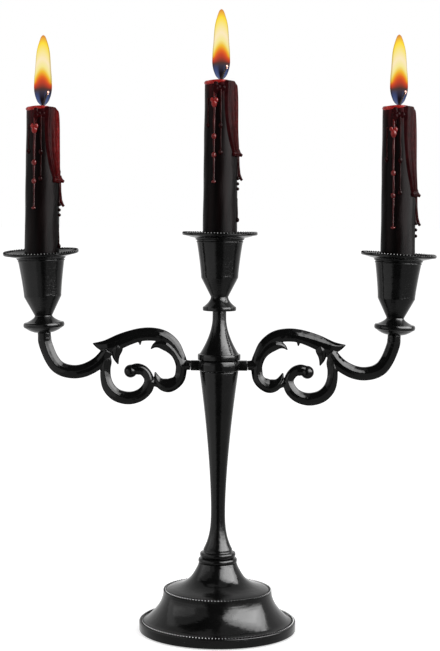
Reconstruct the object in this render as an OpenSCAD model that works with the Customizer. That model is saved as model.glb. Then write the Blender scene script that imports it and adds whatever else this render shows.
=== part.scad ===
// Three-arm table candelabra in black enamelled cast metal.
// Z is up, the arms lie along X, and the origin is at the middle of the foot's underside.

/* [Foot] */
// Radius of the foot's rim
foot_r = 52; // [44:1:60]
// Height of the foot's upright rim band, with its beading
rim_band_h = 6.8; // [5:0.2:9]
// Width of the shoulder between the rim and the lower tier
rim_shoulder_w = 3.4; // [2:0.2:5]
// Height of the step edge between the two tiers
step_z = 27; // [22:1:32]
// Radius of the step edge
step_r = 35.2; // [30:0.2:40]
// Height of the crown, where the collar sits
crown_z = 45; // [40:1:52]
// Radius of the crown
crown_r = 12.6; // [11:0.2:15]
// Wall of the hollow foot
foot_wall = 2.6; // [2:0.2:3.4]
// Radius of a bead on the foot's rim and step
foot_bead_r = 0.85; // [0.6:0.05:1.1]
// Distance from bead to bead along a beaded ring
bead_pitch = 2.1; // [1.6:0.1:3]
// Thickness of the steel closing plate
plate_t = 1.5; // [1:0.1:2]
// Thickness of the felt pad
felt_t = 2; // [1.4:0.1:3]
// How far the felt stands below the foot's rim
felt_proud = 0.6; // [0.3:0.1:1]

/* [Collar and stem] */
// Height of the ringed collar
collar_h = 9; // [7:0.5:12]
// Radius of the collar's lower ring
collar_r = 12.9; // [12:0.1:14]
// Radius of the stem's foot
stem_foot_r = 9.6; // [8.5:0.1:11]
// Radius of the stem at its waist
stem_waist_r = 4.75; // [4.4:0.05:6]
// Radius of the stem's top
stem_top_r = 12.9; // [11:0.1:14]
// Height of the stem
stem_h = 118.5; // [100:0.5:140]
// Share of the stem's height that lies below its waist
waist_share = 0.225; // [0.15:0.005:0.35]

/* [Hub] */
// Height of the hub ring between stem and riser
hub_h = 7.5; // [6.5:0.1:9]
// Radius of the hub ring
hub_r = 13; // [12:0.1:14]
// Distance from the hub's axis to the end of each lug
lug_reach = 19; // [17:0.5:22]
// Height and depth of a lug
lug_size = 6.6; // [6:0.1:7.2]

/* [Arms] */
// Distance from the column's axis to the arm's cup seat
arm_reach = 116.7; // [100:0.1:130]
// Height of the cup seat above the middle of the hub
arm_rise = 21.1; // [18:0.1:24]
// Width of the scroll's strands
strand_w = 8.8; // [8:0.1:10]
// Depth of the scroll, front ridge to back ridge
ridge_depth = 8.4; // [7.4:0.1:9.5]
// Depth of the scroll at its side edges
edge_depth = 3.6; // [2.4:0.1:4.6]
// Outward lean of the side cups, in degrees
cup_lean = 2.8; // [0:0.1:4]
// Radius of the spigot at the arm's root
spigot_r = 2.2; // [1.8:0.1:2.4]
// Length of the spigot
spigot_l = 6; // [4:0.5:7]

/* [Riser and knops] */
// Radius of the riser's flange
flange_r = 14.3; // [13:0.1:16]
// Thickness of the riser's flange
flange_t = 4; // [3:0.1:5]
// Height of the riser, flange included
riser_h = 32.7; // [28:0.1:38]
// Radius of the riser's neck
riser_neck_r = 4.6; // [4.3:0.1:5.4]
// Radius of the centre knop's disc
centre_knop_r = 11.2; // [9:0.1:12]
// Height of the centre knop
centre_knop_h = 9.3; // [8:0.1:11]
// Radius of a side knop's disc
side_knop_r = 13.7; // [12:0.1:15]
// Height of a side knop
side_knop_h = 11.4; // [10:0.1:13]

/* [Cups and pans] */
// Radius of a cup's neck
cup_neck_r = 5.8; // [5.4:0.1:6.6]
// Radius of a cup where its cone meets its barrel
cup_break_r = 12.4; // [12:0.1:13.4]
// Height of a cup's cone
cup_cone_h = 12.8; // [11:0.1:15]
// Radius of a cup's mouth, outside
cup_mouth_r = 15.6; // [15.2:0.1:17]
// Height of a cup
cup_h = 38; // [34:0.5:42]
// Wall of a cup's socket
cup_wall = 1.1; // [0.8:0.1:1.3]
// Height of the socket's floor above the cup's neck
socket_floor_z = 15.6; // [14.5:0.1:17]
// Radius of a drip pan's rim
pan_r = 25.2; // [23:0.1:28]
// Height of a drip pan, from the cup's mouth to the top of its rim
pan_h = 5.5; // [4.5:0.1:7]
// Thickness of a drip pan's sheet
pan_t = 1.3; // [1:0.1:1.6]
// Radius of a bead on a pan's rim
pan_bead_r = 0.9; // [0.7:0.05:1.1]

/* [Candles] */
// Radius of a candle at its foot
candle_foot_r = 11.7; // [11.2:0.1:11.9]
// Radius of a candle at its top
candle_top_r = 10.9; // [10.2:0.1:11.5]
// Radius at the end of the candle's butt, which narrows to go into the cup
candle_butt_r = 10.4; // [9.8:0.1:10.6]
// Length of the narrowed butt
candle_butt_l = 20; // [16:1:23]
// Length of the centre candle
centre_candle_l = 128; // [80:0.5:160]
// Length of the left candle
left_candle_l = 122.5; // [80:0.5:160]
// Length of the right candle
right_candle_l = 124.5; // [80:0.5:160]
// Thickness of the black outer coat
coat_t = 1.7; // [1:0.1:2.4]
// Depth of the melt pool below the coat's lip
pool_depth = 2.2; // [1:0.1:4]
// Radius of the wick
wick_r = 0.9; // [0.7:0.1:1.2]
// Length of the wick above the melt pool
wick_out_l = 9; // [6:0.5:12]
// Height of a flame
flame_h = 47.5; // [30:0.5:60]
// Radius of a flame at its widest
flame_r = 6; // [4:0.1:8]
// Radius of a wax run
run_r = 1.25; // [0.9:0.05:1.6]
// Reach of the longest wax run below the candle's top
run_reach = 94; // [50:1:96]

/* [Fasteners] */
// Radius of the bolt that holds the foot
bolt_r = 3; // [2.5:0.1:3.2]
// Length of the bolt in the stem
bolt_grip = 12; // [9:0.5:16]
// Radius of the stud between stem and riser
stud_r = 4; // [3:0.1:4.6]
// Length of the stud in the stem and in the riser
stud_grip = 12; // [8:0.5:14]
// Radius of the screw that holds a cup
screw_r = 2; // [1.6:0.1:2.2]
// Length of the screw below the knop
screw_grip = 7; // [5:0.5:8]

/* [Clearances] */
// Radial clearance round a bolt, stud or screw that doesn't turn
hole_clear = 0.1; // [0.05:0.05:0.2]
// Radial clearance of the hub on its stud
turn_clear = 0.06; // [0.02:0.01:0.1]
// Gap between pieces of different bodies that touch on curved faces
seat_gap = 0.25; // [0.2:0.05:0.3]

/* [Hidden] */

enamel = [0.045, 0.045, 0.05];
steel = [0.55, 0.55, 0.57];
felt_black = [0.08, 0.08, 0.08];
wax_black = [0.03, 0.028, 0.03];
wax_red = [0.5, 0.03, 0.04];
flame_yellow = [1, 0.75, 0.25];
$fn = 96;

left = -1;
right = 1;
// Overrun of a cut past the face that it opens
overrun = 1;

// Heights up the column
plate_top_z = felt_t + plate_t;
collar_z = crown_z;
stem_z = collar_z + collar_h;
hub_z = stem_z + stem_h;
riser_z = hub_z + hub_h;
centre_knop_z = riser_z + riser_h;
hub_mid_z = hub_z + hub_h / 2;
seat_z = hub_mid_z + arm_rise;

// Places inside a cup, counted from its neck
pan_rim_z = cup_h + pan_h;
pan_seat_z = pan_rim_z - pan_bead_r;
screw_head_h = screw_r * 1.2;
screw_head_r = screw_r * 1.95;
screw_head_z = socket_floor_z - screw_head_h - hole_clear;
socket_floor_r = cup_wall_r(socket_floor_z) - cup_wall;
socket_mouth_r = cup_mouth_r - cup_wall;

// Fastener heads follow their shanks
washer_r = bolt_r * 2.6;
washer_t = bolt_r * 0.5;
bolt_head_r = bolt_r * 1.9;
bolt_head_h = bolt_r * 1.6;

// A round piece turned from half an outline
module turned(outline) {
    rotate_extrude() polygon(outline);
}

// Heights from z0 to z1 in even steps, with the radius that swells from r0 to r1 by a power
function swell(r0, r1, z0, z1, power, steps = 12) = [
    for (i = [0 : steps]) [r0 + (r1 - r0) * pow(i / steps, power), z0 + (z1 - z0) * i / steps]
];

// The same from the other end: fast at first and slow towards r1
function settle(r0, r1, z0, z1, power, steps = 12) = [
    for (i = [0 : steps]) [r1 + (r0 - r1) * pow(1 - i / steps, power), z0 + (z1 - z0) * i / steps]
];

// A half-round edge that bulges from radius r by the amount bulge
function round_edge(r, bulge, z0, z1, steps = 8) = [
    for (i = [0 : steps]) [r + bulge * sin(180 * i / steps), z0 + (z1 - z0) * (1 - cos(180 * i / steps)) / 2]
];

// Catmull-Rom curve through a list of points, with a number of steps in each span
function curve_at(a, b, c, d, t) =
    0.5 * (2 * b + (c - a) * t + (2 * a - 5 * b + 4 * c - d) * t * t + (3 * b - a - 3 * c + d) * t * t * t);
function curve(p, steps) = concat(
    [for (k = [0 : len(p) - 2]) for (s = [0 : steps - 1])
        curve_at(p[max(k - 1, 0)], p[k], p[k + 1], p[min(k + 2, len(p) - 1)], s / steps)],
    [p[len(p) - 1]]
);

// Foot

// The lower tier sweeps in from the shoulder to the step, the upper tier from the step to the crown
function lower_tier() = settle(foot_r - rim_shoulder_w, step_r + foot_bead_r, rim_band_h, step_z, 2.1, 14);
upper_tier_shares = [[1, 0], [0.94, 0.05], [0.53, 0.21], [0.26, 0.44], [0.07, 0.79], [0, 1]];
upper_tier_r = step_r - foot_bead_r;
function upper_tier() = [
    for (p = curve(upper_tier_shares, 3))
        [crown_r + (upper_tier_r - crown_r) * p[0], step_z + (crown_z - step_z) * p[1]]
];
function foot_outline() = concat(
    [[0, felt_proud], [foot_r - foot_bead_r, felt_proud], [foot_r, felt_proud + foot_bead_r]],
    [[foot_r, rim_band_h - foot_bead_r / 2], [foot_r - foot_bead_r / 2, rim_band_h]],
    lower_tier(), upper_tier(), [[0, crown_z]]
);
function foot_cavity() = concat(
    [[0, plate_top_z]],
    [
        for (p = concat(lower_tier(), upper_tier()))
            if (p[1] > plate_top_z + foot_wall) p - [foot_wall, foot_wall]
    ],
    [[0, crown_z - foot_wall]]
);
pad_r = foot_r - 2 * foot_wall;

module felt_pad() {
    color(felt_black) cylinder(r = pad_r - hole_clear, h = felt_t);
}

module base_plate() {
    color(steel) translate([0, 0, felt_t]) cylinder(r = pad_r - hole_clear, h = plate_t);
}

module base_shell() {
    color(enamel) difference() {
        turned(foot_outline());
        turned(foot_cavity());
        cylinder(r = pad_r, h = plate_top_z);
        cylinder(r = bolt_r + hole_clear, h = crown_z + overrun);
    }
}

module base_washer() {
    color(steel) translate([0, 0, crown_z - foot_wall - washer_t]) difference() {
        cylinder(r = washer_r, h = washer_t);
        translate([0, 0, -overrun]) cylinder(r = bolt_r + hole_clear, h = washer_t + 2 * overrun);
    }
}

module base_bolt() {
    head_top_z = crown_z - foot_wall - washer_t;
    color(steel) {
        translate([0, 0, head_top_z]) cylinder(r = bolt_r, h = stem_z + bolt_grip - head_top_z);
        translate([0, 0, head_top_z - bolt_head_h]) cylinder(r = bolt_head_r, h = bolt_head_h, $fn = 6);
    }
}

// Beading

// A bead's section across the ring, as shares of the bead's radius, and the section between two beads
bead_section_shares = [[-1, 0], [-0.62, 0.78], [0.62, 0.78], [1, 0]];
bead_neck_share = 0.45;

// A ring of beads in one piece, with its flat underside at height 0
module beaded_ring(ring_r, bead_r) {
    beads = round(2 * PI * ring_r / bead_pitch);
    n = 2 * beads;
    corners = len(bead_section_shares);
    points = [
        for (i = [0 : n - 1])
            let (turn = 360 * i / n, size = bead_r * (i % 2 == 0 ? 1 : bead_neck_share))
            for (c = bead_section_shares)
                [(ring_r + c[0] * size) * cos(turn), (ring_r + c[0] * size) * sin(turn), c[1] * size]
    ];
    faces = [
        for (i = [0 : n - 1]) for (j = [0 : corners - 1])
            let (k = (j + 1) % corners, m = (i + 1) % n)
            each [
                [i * corners + j, i * corners + k, m * corners + k],
                [i * corners + j, m * corners + k, m * corners + j]
            ]
    ];
    color(enamel) polyhedron(points = points, faces = faces);
}

module rim_beading() {
    translate([0, 0, rim_band_h]) beaded_ring(foot_r - 2 * foot_bead_r, foot_bead_r);
}

module step_beading() {
    translate([0, 0, step_z]) beaded_ring(step_r, foot_bead_r);
}

// Collar and stem

module stem_collar() {
    ring_h = collar_h * 0.35;
    groove_r = (collar_r + stem_foot_r) / 2;
    color(enamel) difference() {
        turned(concat(
            [[0, collar_z]],
            round_edge(collar_r - ring_h / 4, ring_h / 4, collar_z, collar_z + ring_h),
            [[groove_r, collar_z + ring_h * 1.2]],
            round_edge(groove_r, ring_h / 5, collar_z + ring_h * 1.3, collar_z + ring_h * 2.2),
            [[stem_foot_r, collar_z + ring_h * 2.5], [stem_foot_r, stem_z], [0, stem_z]]
        ));
        translate([0, 0, collar_z - overrun]) cylinder(r = bolt_r + hole_clear, h = collar_h + 2 * overrun);
    }
}

module stem() {
    waist_z = stem_z + stem_h * waist_share;
    edge = hub_h / 10;
    color(enamel) difference() {
        turned(concat(
            [[0, stem_z]],
            settle(stem_foot_r, stem_waist_r, stem_z, waist_z, 3, 14),
            swell(stem_waist_r, stem_top_r, waist_z, hub_z - edge, 1.57, 16),
            [[stem_top_r, hub_z], [0, hub_z]]
        ));
        translate([0, 0, stem_z - overrun]) cylinder(r = bolt_r + hole_clear, h = bolt_grip + 2 * overrun);
        translate([0, 0, hub_z - stud_grip - overrun])
            cylinder(r = stud_r + hole_clear, h = stud_grip + 2 * overrun);
    }
}

// Hub and arms

module hub_stud() {
    color(steel) translate([0, 0, hub_z - stud_grip]) cylinder(r = stud_r, h = hub_h + 2 * stud_grip);
}

module arm_hub() {
    color(enamel) translate([0, 0, hub_z]) difference() {
        union() {
            turned(concat([[0, 0]], round_edge(hub_r - hub_h / 10, hub_h / 10, 0, hub_h), [[0, hub_h]]));
            translate([-lug_reach, -lug_size / 2, (hub_h - lug_size) / 2])
                cube([2 * lug_reach, lug_size, lug_size]);
        }
        translate([0, 0, -overrun]) cylinder(r = stud_r + turn_clear, h = hub_h + 2 * overrun);
        for (side = [left, right]) {
            translate([side * (lug_reach + overrun), 0, hub_h / 2]) rotate([0, -side * 90, 0])
                cylinder(r = spigot_r + hole_clear, h = spigot_l + 2 * overrun);
        }
    }
}

// A clear hole for a cup's screw, from height 0 up through h
module screw_hole(h) {
    translate([0, 0, -overrun]) cylinder(r = screw_r + hole_clear, h = h + 2 * overrun);
}

// Each strand is a list of [share of the reach, share of the rise, and the widths of its two facets
// on the left and on the right of the ridge, as one goes along it, as shares of the strand's width]
cup_strand_shares = [
    [0.998, 0.86, 0.5, 0.5], [0.995, 0.7, 0.5, 0.5], [0.98, 0.43, 0.52, 0.48],
    [0.958, 0.17, 0.52, 0.48], [0.926, -0.05, 0.5, 0.51], [0.88, -0.17, 0.46, 0.55],
    [0.823, -0.205, 0.44, 0.57], [0.771, -0.155, 0.44, 0.57], [0.725, -0.035, 0.43, 0.57],
    [0.69, 0.105, 0.42, 0.57], [0.662, 0.28, 0.4, 0.55], [0.64, 0.45, 0.4, 0.45]
];
top_leaf_shares = [
    [0.722, 0.67, 0.03, 0.05], [0.685, 0.645, 0.19, 0.4], [0.65, 0.66, 0.28, 0.66],
    [0.61, 0.714, 0.38, 0.74], [0.57, 0.778, 0.46, 0.68], [0.513, 0.873, 0.49, 0.58],
    [0.455, 0.95, 0.5, 0.51], [0.398, 0.98, 0.49, 0.51], [0.34, 0.945, 0.47, 0.49],
    [0.295, 0.83, 0.46, 0.38], [0.254, 0.62, 0.43, 0.3], [0.226, 0.365, 0.35, 0.23],
    [0.204, 0.127, 0.27, 0.15], [0.196, -0.05, 0.15, 0.12]
];
inner_leaf_shares = [
    [0.39, 0.505, 0.04, 0.04], [0.369, 0.61, 0.19, 0.17], [0.34, 0.67, 0.3, 0.37],
    [0.306, 0.645, 0.38, 0.46], [0.274, 0.514, 0.38, 0.4], [0.247, 0.318, 0.4, 0.31],
    [0.224, 0.064, 0.52, 0.35], [0.216, -0.175, 0.42, 0.43], [0.226, -0.413, 0.43, 0.43],
    [0.249, -0.594, 0.39, 0.59], [0.286, -0.692, 0.4, 0.63], [0.323, -0.638, 0.38, 0.57],
    [0.35, -0.492, 0.27, 0.36], [0.365, -0.225, 0.05, 0.05]
];
low_scroll_shares = [
    [0.65, 0.333, 0.38, 0.3], [0.653, 0.111, 0.53, 0.23], [0.655, -0.143, 0.48, 0.3],
    [0.647, -0.43, 0.42, 0.4], [0.626, -0.7, 0.4, 0.51], [0.587, -0.915, 0.4, 0.54],
    [0.536, -1.02, 0.43, 0.53], [0.487, -1.01, 0.42, 0.52], [0.441, -0.89, 0.4, 0.52],
    [0.407, -0.683, 0.41, 0.48], [0.393, -0.46, 0.46, 0.3], [0.404, -0.254, 0.52, 0.23],
    [0.43, -0.105, 0.56, 0.22], [0.467, -0.06, 0.6, 0.26], [0.501, -0.127, 0.5, 0.3]
];
lobe_shares = [
    [0.57, 0.714, 0.3, 0.3], [0.584, 0.524, 0.46, 0.46], [0.591, 0.333, 0.38, 0.3],
    [0.587, 0.175, 0.23, 0.19], [0.576, 0.012, 0.04, 0.04]
];
leaflet_shares = [[0.473, 0.905, 0.23, 0.23], [0.455, 0.778, 0.17, 0.17], [0.452, 0.626, 0.04, 0.04]];
web_shares = [[0.4, -0.5, 0.3, 0.3], [0.37, -0.56, 0.26, 0.26], [0.34, -0.6, 0.3, 0.3]];
hub_link_shares = [[0.222, 0.02, 0.4, 0.4], [0.192, 0.01, 0.37, 0.37], [0.1629, 0, 0.36, 0.36]];
curl_share = [0.505, -0.2, 0.5];

// Six corners of a strand's section: a ridge in front and behind, and a blunt edge at each side
function section(near_share, far_share) =
    let (size_share = near_share + far_share)
    let (edge = edge_depth / 2 * min(1, 0.4 + 0.6 * size_share))
    let (ridge = ridge_depth / 2 * min(1, 0.35 + 0.65 * size_share))
    [
        [near_share * strand_w, edge], [0, ridge], [-far_share * strand_w, edge],
        [-far_share * strand_w, -edge], [0, -ridge], [near_share * strand_w, -edge]
    ];

// A strand swept in the plane of the arms along a smooth curve through its points
module strand(shares, steps = 2) {
    p = curve([for (s = shares) [s[0] * arm_reach, s[1] * arm_rise, s[2], s[3]]], steps);
    n = len(p);
    corners = 6;
    points = [
        for (i = [0 : n - 1])
            let (run = p[min(i + 1, n - 1)] - p[max(i - 1, 0)], size = norm([run[0], run[1]]))
            let (across = [run[1] / size, -run[0] / size])
            for (c = section(p[i][2], p[i][3])) [p[i][0] + across[0] * c[0], c[1], p[i][1] + across[1] * c[0]]
    ];
    sides = [
        for (i = [0 : n - 2]) for (j = [0 : corners - 1])
            let (k = (j + 1) % corners)
            each [
                [i * corners + j, (i + 1) * corners + j, (i + 1) * corners + k],
                [i * corners + j, (i + 1) * corners + k, i * corners + k]
            ]
    ];
    first_cap = [for (j = [1 : corners - 2]) [0, j, j + 1]];
    last = (n - 1) * corners;
    last_cap = [for (j = [1 : corners - 2]) [last, last + j + 1, last + j]];
    polyhedron(points = points, faces = concat(sides, first_cap, last_cap));
}

// The right arm, seen from the front, about the middle of the hub
module scroll_arm() {
    boss_h = strand_w * 0.55;
    difference() {
        union() {
            strand(cup_strand_shares);
            strand(top_leaf_shares);
            strand(inner_leaf_shares);
            strand(low_scroll_shares);
            strand(lobe_shares);
            strand(leaflet_shares);
            strand(web_shares);
            strand(hub_link_shares);
            translate([curl_share[0] * arm_reach, 0, curl_share[1] * arm_rise])
                sphere(r = curl_share[2] * strand_w);
            in_cup_frame() translate([0, 0, -boss_h]) cylinder(r = strand_w / 2, h = boss_h);
            translate([lug_reach - spigot_l, 0, 0]) rotate([0, 90, 0])
                cylinder(r = spigot_r, h = spigot_l + strand_w / 4);
        }
        in_cup_frame() translate([0, 0, -screw_grip]) screw_hole(screw_grip);
    }
}

// The cup seat of the right arm, about the middle of the hub
module in_cup_frame() {
    translate([arm_reach, 0, arm_rise]) rotate([0, cup_lean, 0]) children();
}

module arm_right() {
    color(enamel) translate([0, 0, hub_mid_z]) scroll_arm();
}

module arm_left() {
    color(enamel) translate([0, 0, hub_mid_z]) mirror([1, 0, 0]) scroll_arm();
}

// Riser and knops

module riser() {
    edge = flange_t / 6;
    color(enamel) translate([0, 0, riser_z]) difference() {
        turned(concat(
            [[0, 0], [flange_r - edge, 0], [flange_r, edge]],
            [[flange_r, flange_t - edge], [flange_r - edge, flange_t]],
            settle(flange_r - 2 * edge, riser_neck_r, flange_t, riser_h * 0.85, 1.8, 16),
            [[riser_neck_r, riser_h], [0, riser_h]]
        ));
        translate([0, 0, -overrun]) cylinder(r = stud_r + hole_clear, h = stud_grip + 2 * overrun);
        translate([0, 0, riser_h - screw_grip]) screw_hole(screw_grip);
    }
}

module centre_knop() {
    disc_t = centre_knop_h * 0.3;
    edge = disc_t / 5;
    color(enamel) translate([0, 0, centre_knop_z]) difference() {
        turned(concat(
            [[0, 0], [centre_knop_r - edge, 0], [centre_knop_r, edge], [centre_knop_r, disc_t - edge]],
            settle(centre_knop_r - edge, cup_neck_r, disc_t, centre_knop_h, 1.8, 12),
            [[0, centre_knop_h]]
        ));
        screw_hole(centre_knop_h);
    }
}

// A saucer-shaped knop, about its own seat on the arm
module side_knop() {
    rim_z = side_knop_h * 0.35;
    rim_t = side_knop_h * 0.2;
    color(enamel) difference() {
        turned(concat(
            [[0, 0]],
            swell(strand_w / 2, side_knop_r - rim_t / 3, 0, rim_z, 0.55, 8),
            round_edge(side_knop_r - rim_t / 3, rim_t / 3, rim_z, rim_z + rim_t),
            settle(side_knop_r - rim_t / 2, cup_neck_r, rim_z + rim_t, side_knop_h, 1.7, 12),
            [[0, side_knop_h]]
        ));
        screw_hole(side_knop_h);
    }
}

// Cups and pans, each about the cup's neck

// Outer radius of a cup at a height above its neck
function cup_wall_r(z) = z < cup_cone_h
    ? cup_neck_r + (cup_break_r - cup_neck_r) * z / cup_cone_h
    : cup_break_r + (cup_mouth_r - cup_break_r) * pow((z - cup_cone_h) / (cup_h - cup_cone_h), 1.3);

// Radius of the socket, which widens from its floor to the mouth
function socket_r(z) =
    socket_floor_r + (socket_mouth_r - socket_floor_r) * (z - socket_floor_z) / (cup_h - socket_floor_z);

module cup() {
    barrel_steps = 10;
    color(enamel) difference() {
        turned(concat(
            [[0, 0], [cup_neck_r, 0]],
            [
                for (i = [0 : barrel_steps])
                    let (z = cup_cone_h + (cup_h - cup_cone_h) * i / barrel_steps) [cup_wall_r(z), z]
            ],
            [[0, cup_h]]
        ));
        turned([
            [0, socket_floor_z], [socket_floor_r, socket_floor_z], [socket_mouth_r, cup_h],
            [socket_mouth_r, cup_h + overrun], [0, cup_h + overrun]
        ]);
        translate([0, 0, screw_head_z]) cylinder(r = screw_head_r + hole_clear, h = socket_floor_z);
        screw_hole(screw_head_z);
    }
}

// The pan's collar sits in the cup's mouth and its flare carries the beaded rim
module pan() {
    collar_l = pan_h * 0.6;
    collar_low_r = socket_r(cup_h - collar_l) - hole_clear;
    inner_r = collar_low_r - cup_wall;
    lip_r = cup_mouth_r + pan_t / 2;
    floor_z = cup_h + pan_t * 1.5;
    rim_z = pan_rim_z - 2 * pan_bead_r;
    rim_inner_r = pan_r - 2 * pan_bead_r;
    floor_steps = 8;
    pan_floor = swell(cup_mouth_r, rim_inner_r, floor_z, pan_seat_z - pan_bead_r / 4, 0.7, floor_steps);
    color(enamel) turned(concat(
        [[inner_r, cup_h - collar_l], [collar_low_r, cup_h - collar_l], [socket_mouth_r - hole_clear, cup_h]],
        [[lip_r, cup_h], [lip_r, cup_h + pan_t / 2], [cup_mouth_r + pan_t, cup_h + pan_t]],
        swell(cup_mouth_r + pan_t, pan_r, cup_h + pan_t, rim_z, 0.7, floor_steps),
        [[pan_r, pan_seat_z], [rim_inner_r, pan_seat_z]],
        [for (i = [floor_steps : -1 : 0]) pan_floor[i]],
        [[inner_r, floor_z]]
    ));
}

// The beads on a pan's rim
module pan_beading() {
    translate([0, 0, pan_seat_z]) beaded_ring(pan_r - pan_bead_r, pan_bead_r);
}

module cup_screw(knop_h) {
    color(steel) {
        translate([0, 0, -screw_grip]) cylinder(r = screw_r, h = knop_h + screw_head_z + screw_grip);
        translate([0, 0, knop_h + screw_head_z]) cylinder(r = screw_head_r, h = screw_head_h);
    }
}

// Places of the cups

module on_side(side) {
    translate([side * arm_reach, 0, seat_z]) rotate([0, side * cup_lean, 0]) children();
}

module on_centre() {
    translate([0, 0, centre_knop_z]) children();
}

module left_knop() {
    on_side(left) side_knop();
}

module right_knop() {
    on_side(right) side_knop();
}

module left_cup() {
    on_side(left) translate([0, 0, side_knop_h]) cup();
}

module right_cup() {
    on_side(right) translate([0, 0, side_knop_h]) cup();
}

module centre_cup() {
    on_centre() translate([0, 0, centre_knop_h]) cup();
}

module left_pan() {
    on_side(left) translate([0, 0, side_knop_h]) pan();
}

module right_pan() {
    on_side(right) translate([0, 0, side_knop_h]) pan();
}

module centre_pan() {
    on_centre() translate([0, 0, centre_knop_h]) pan();
}

module left_pan_beading() {
    on_side(left) translate([0, 0, side_knop_h]) pan_beading();
}

module right_pan_beading() {
    on_side(right) translate([0, 0, side_knop_h]) pan_beading();
}

module centre_pan_beading() {
    on_centre() translate([0, 0, centre_knop_h]) pan_beading();
}

module side_cup_screws() {
    for (side = [left, right]) {
        on_side(side) cup_screw(side_knop_h);
    }
}

module centre_cup_screw() {
    on_centre() cup_screw(centre_knop_h);
}

// Candles stand upright, each about the middle of its own foot

// The side candles cross the leaning axis of their cups half way up the socket
cross_h = side_knop_h + (socket_floor_z + pan_rim_z) / 2;
side_candle_x = arm_reach + sin(cup_lean) * cross_h;
side_candle_z = seat_z + cos(cup_lean) * (side_knop_h + socket_floor_z)
    + sin(cup_lean) * (candle_butt_r + sin(cup_lean) * cross_h) + seat_gap;
centre_candle_z = centre_knop_z + centre_knop_h + socket_floor_z + seat_gap;

module at_left_candle() {
    translate([left * side_candle_x, 0, side_candle_z]) children();
}

module at_right_candle() {
    translate([right * side_candle_x, 0, side_candle_z]) children();
}

module at_centre_candle() {
    translate([0, 0, centre_candle_z]) children();
}

core_r = candle_butt_r - coat_t;

module candle_body(length) {
    turned([[0, 0], [candle_butt_r, 0], [candle_foot_r, candle_butt_l], [candle_top_r, length], [0, length]]);
}

module candle_coat(length) {
    color(wax_black) difference() {
        candle_body(length);
        translate([0, 0, -overrun]) cylinder(r = core_r, h = length + 2 * overrun);
    }
}

// The core fills the coat up to the melt pool, which is dished round the wick
module candle_core(length) {
    color(wax_red) difference() {
        turned([
            [0, 0], [core_r, 0], [core_r, length - pool_depth / 2], [core_r * 0.7, length - pool_depth],
            [0, length - pool_depth]
        ]);
        translate([0, 0, coat_t]) cylinder(r = wick_r, h = length);
    }
}

module wick(length) {
    color(felt_black) translate([0, 0, coat_t])
        cylinder(r = wick_r, h = length - coat_t - pool_depth + wick_out_l);
}

// A flame, round the end of the wick, about the candle's foot
flame_shares = [
    [0.33, 0], [0.62, 0.06], [0.79, 0.115], [0.9, 0.16], [0.98, 0.22], [1, 0.28], [0.965, 0.41],
    [0.885, 0.52], [0.775, 0.715], [0.65, 0.815], [0.375, 0.915], [0, 1]
];
module flame(length) {
    bottom_z = length + pool_depth / 4;
    wick_top_z = length - pool_depth + wick_out_l;
    color(flame_yellow) difference() {
        turned(concat(
            [[0, bottom_z]],
            [for (p = curve(flame_shares, 2)) [max(p[0], 0) * flame_r, bottom_z + p[1] * flame_h]]
        ));
        translate([0, 0, bottom_z - overrun])
            cylinder(r = wick_r + seat_gap, h = wick_top_z + seat_gap - bottom_z + overrun);
    }
}

// Wax runs: [degrees round from the front, the depths of both ends as shares of the reach,
// and the thicknesses of both ends as shares of a run's radius]
run_shares = [
    [-23, 0, 0.716, 0.95, 0.7], [-50, 0.125, 0.317, 0.75, 0.65], [0, 0.06, 0.51, 0.8, 0.65],
    [85, 0.45, 0.69, 1.1, 0.8], [80, 0.83, 0.99, 0.6, 0.75]
];
// Drops on the runs: [degrees round from the front, depth as a share of the reach, radius share]
drop_shares = [
    [-18, 0.055, 2.1], [-23, 0.153, 1.9], [-23, 0.396, 1.45], [-23, 0.527, 1.35], [-23, 0.716, 1.3],
    [-50, 0.317, 1.15], [0, 0.32, 1.25], [0, 0.51, 1.3], [53, 0.52, 1.8], [70, 0.525, 1.9], [85, 0.69, 1.4],
    [84, 0.729, 1], [84, 0.765, 1], [80, 0.99, 1.15]
];
// The sheet of wax at the side: its depth as a share of the reach, and where it begins and ends
sheet_reach_share = 0.52;
sheet_top_degrees = [15, 98];
sheet_hem_degrees = [50, 84];
sheet_folds = 3;
// Gap between the coat and the flat facets at the back of the sheet
wax_film_t = 0.05;

// The place at an angle round from the front and a depth below the candle's top, standing proud of the coat
function on_coat(length, degrees, depth, proud = 0) =
    let (taper = (candle_foot_r - candle_top_r) / (length - candle_butt_l))
    let (r = candle_top_r + depth * taper + proud)
    [r * sin(degrees), -r * cos(degrees), length - depth];

module wax_run(length, s) {
    top = on_coat(length, s[0], s[1] * run_reach);
    run = on_coat(length, s[0], s[2] * run_reach) - top;
    translate(top) rotate([0, acos(run[2] / norm(run)), atan2(run[1], run[0])])
        cylinder(r1 = run_r * s[3], r2 = run_r * s[4], h = norm(run));
}

// A point of the sheet: down and across are shares of it, and its folds stand out while its back lies close
function sheet_point(length, down, across, behind) =
    let (degrees = sheet_top_degrees + (sheet_hem_degrees - sheet_top_degrees) * pow(down, 3))
    let (fold = run_r * (0.75 - 0.5 * cos(360 * sheet_folds * across)) * (1 + 0.3 * down))
    on_coat(
        length, degrees[0] + (degrees[1] - degrees[0]) * across, down * sheet_reach_share * run_reach,
        behind ? wax_film_t : fold
    );

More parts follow.
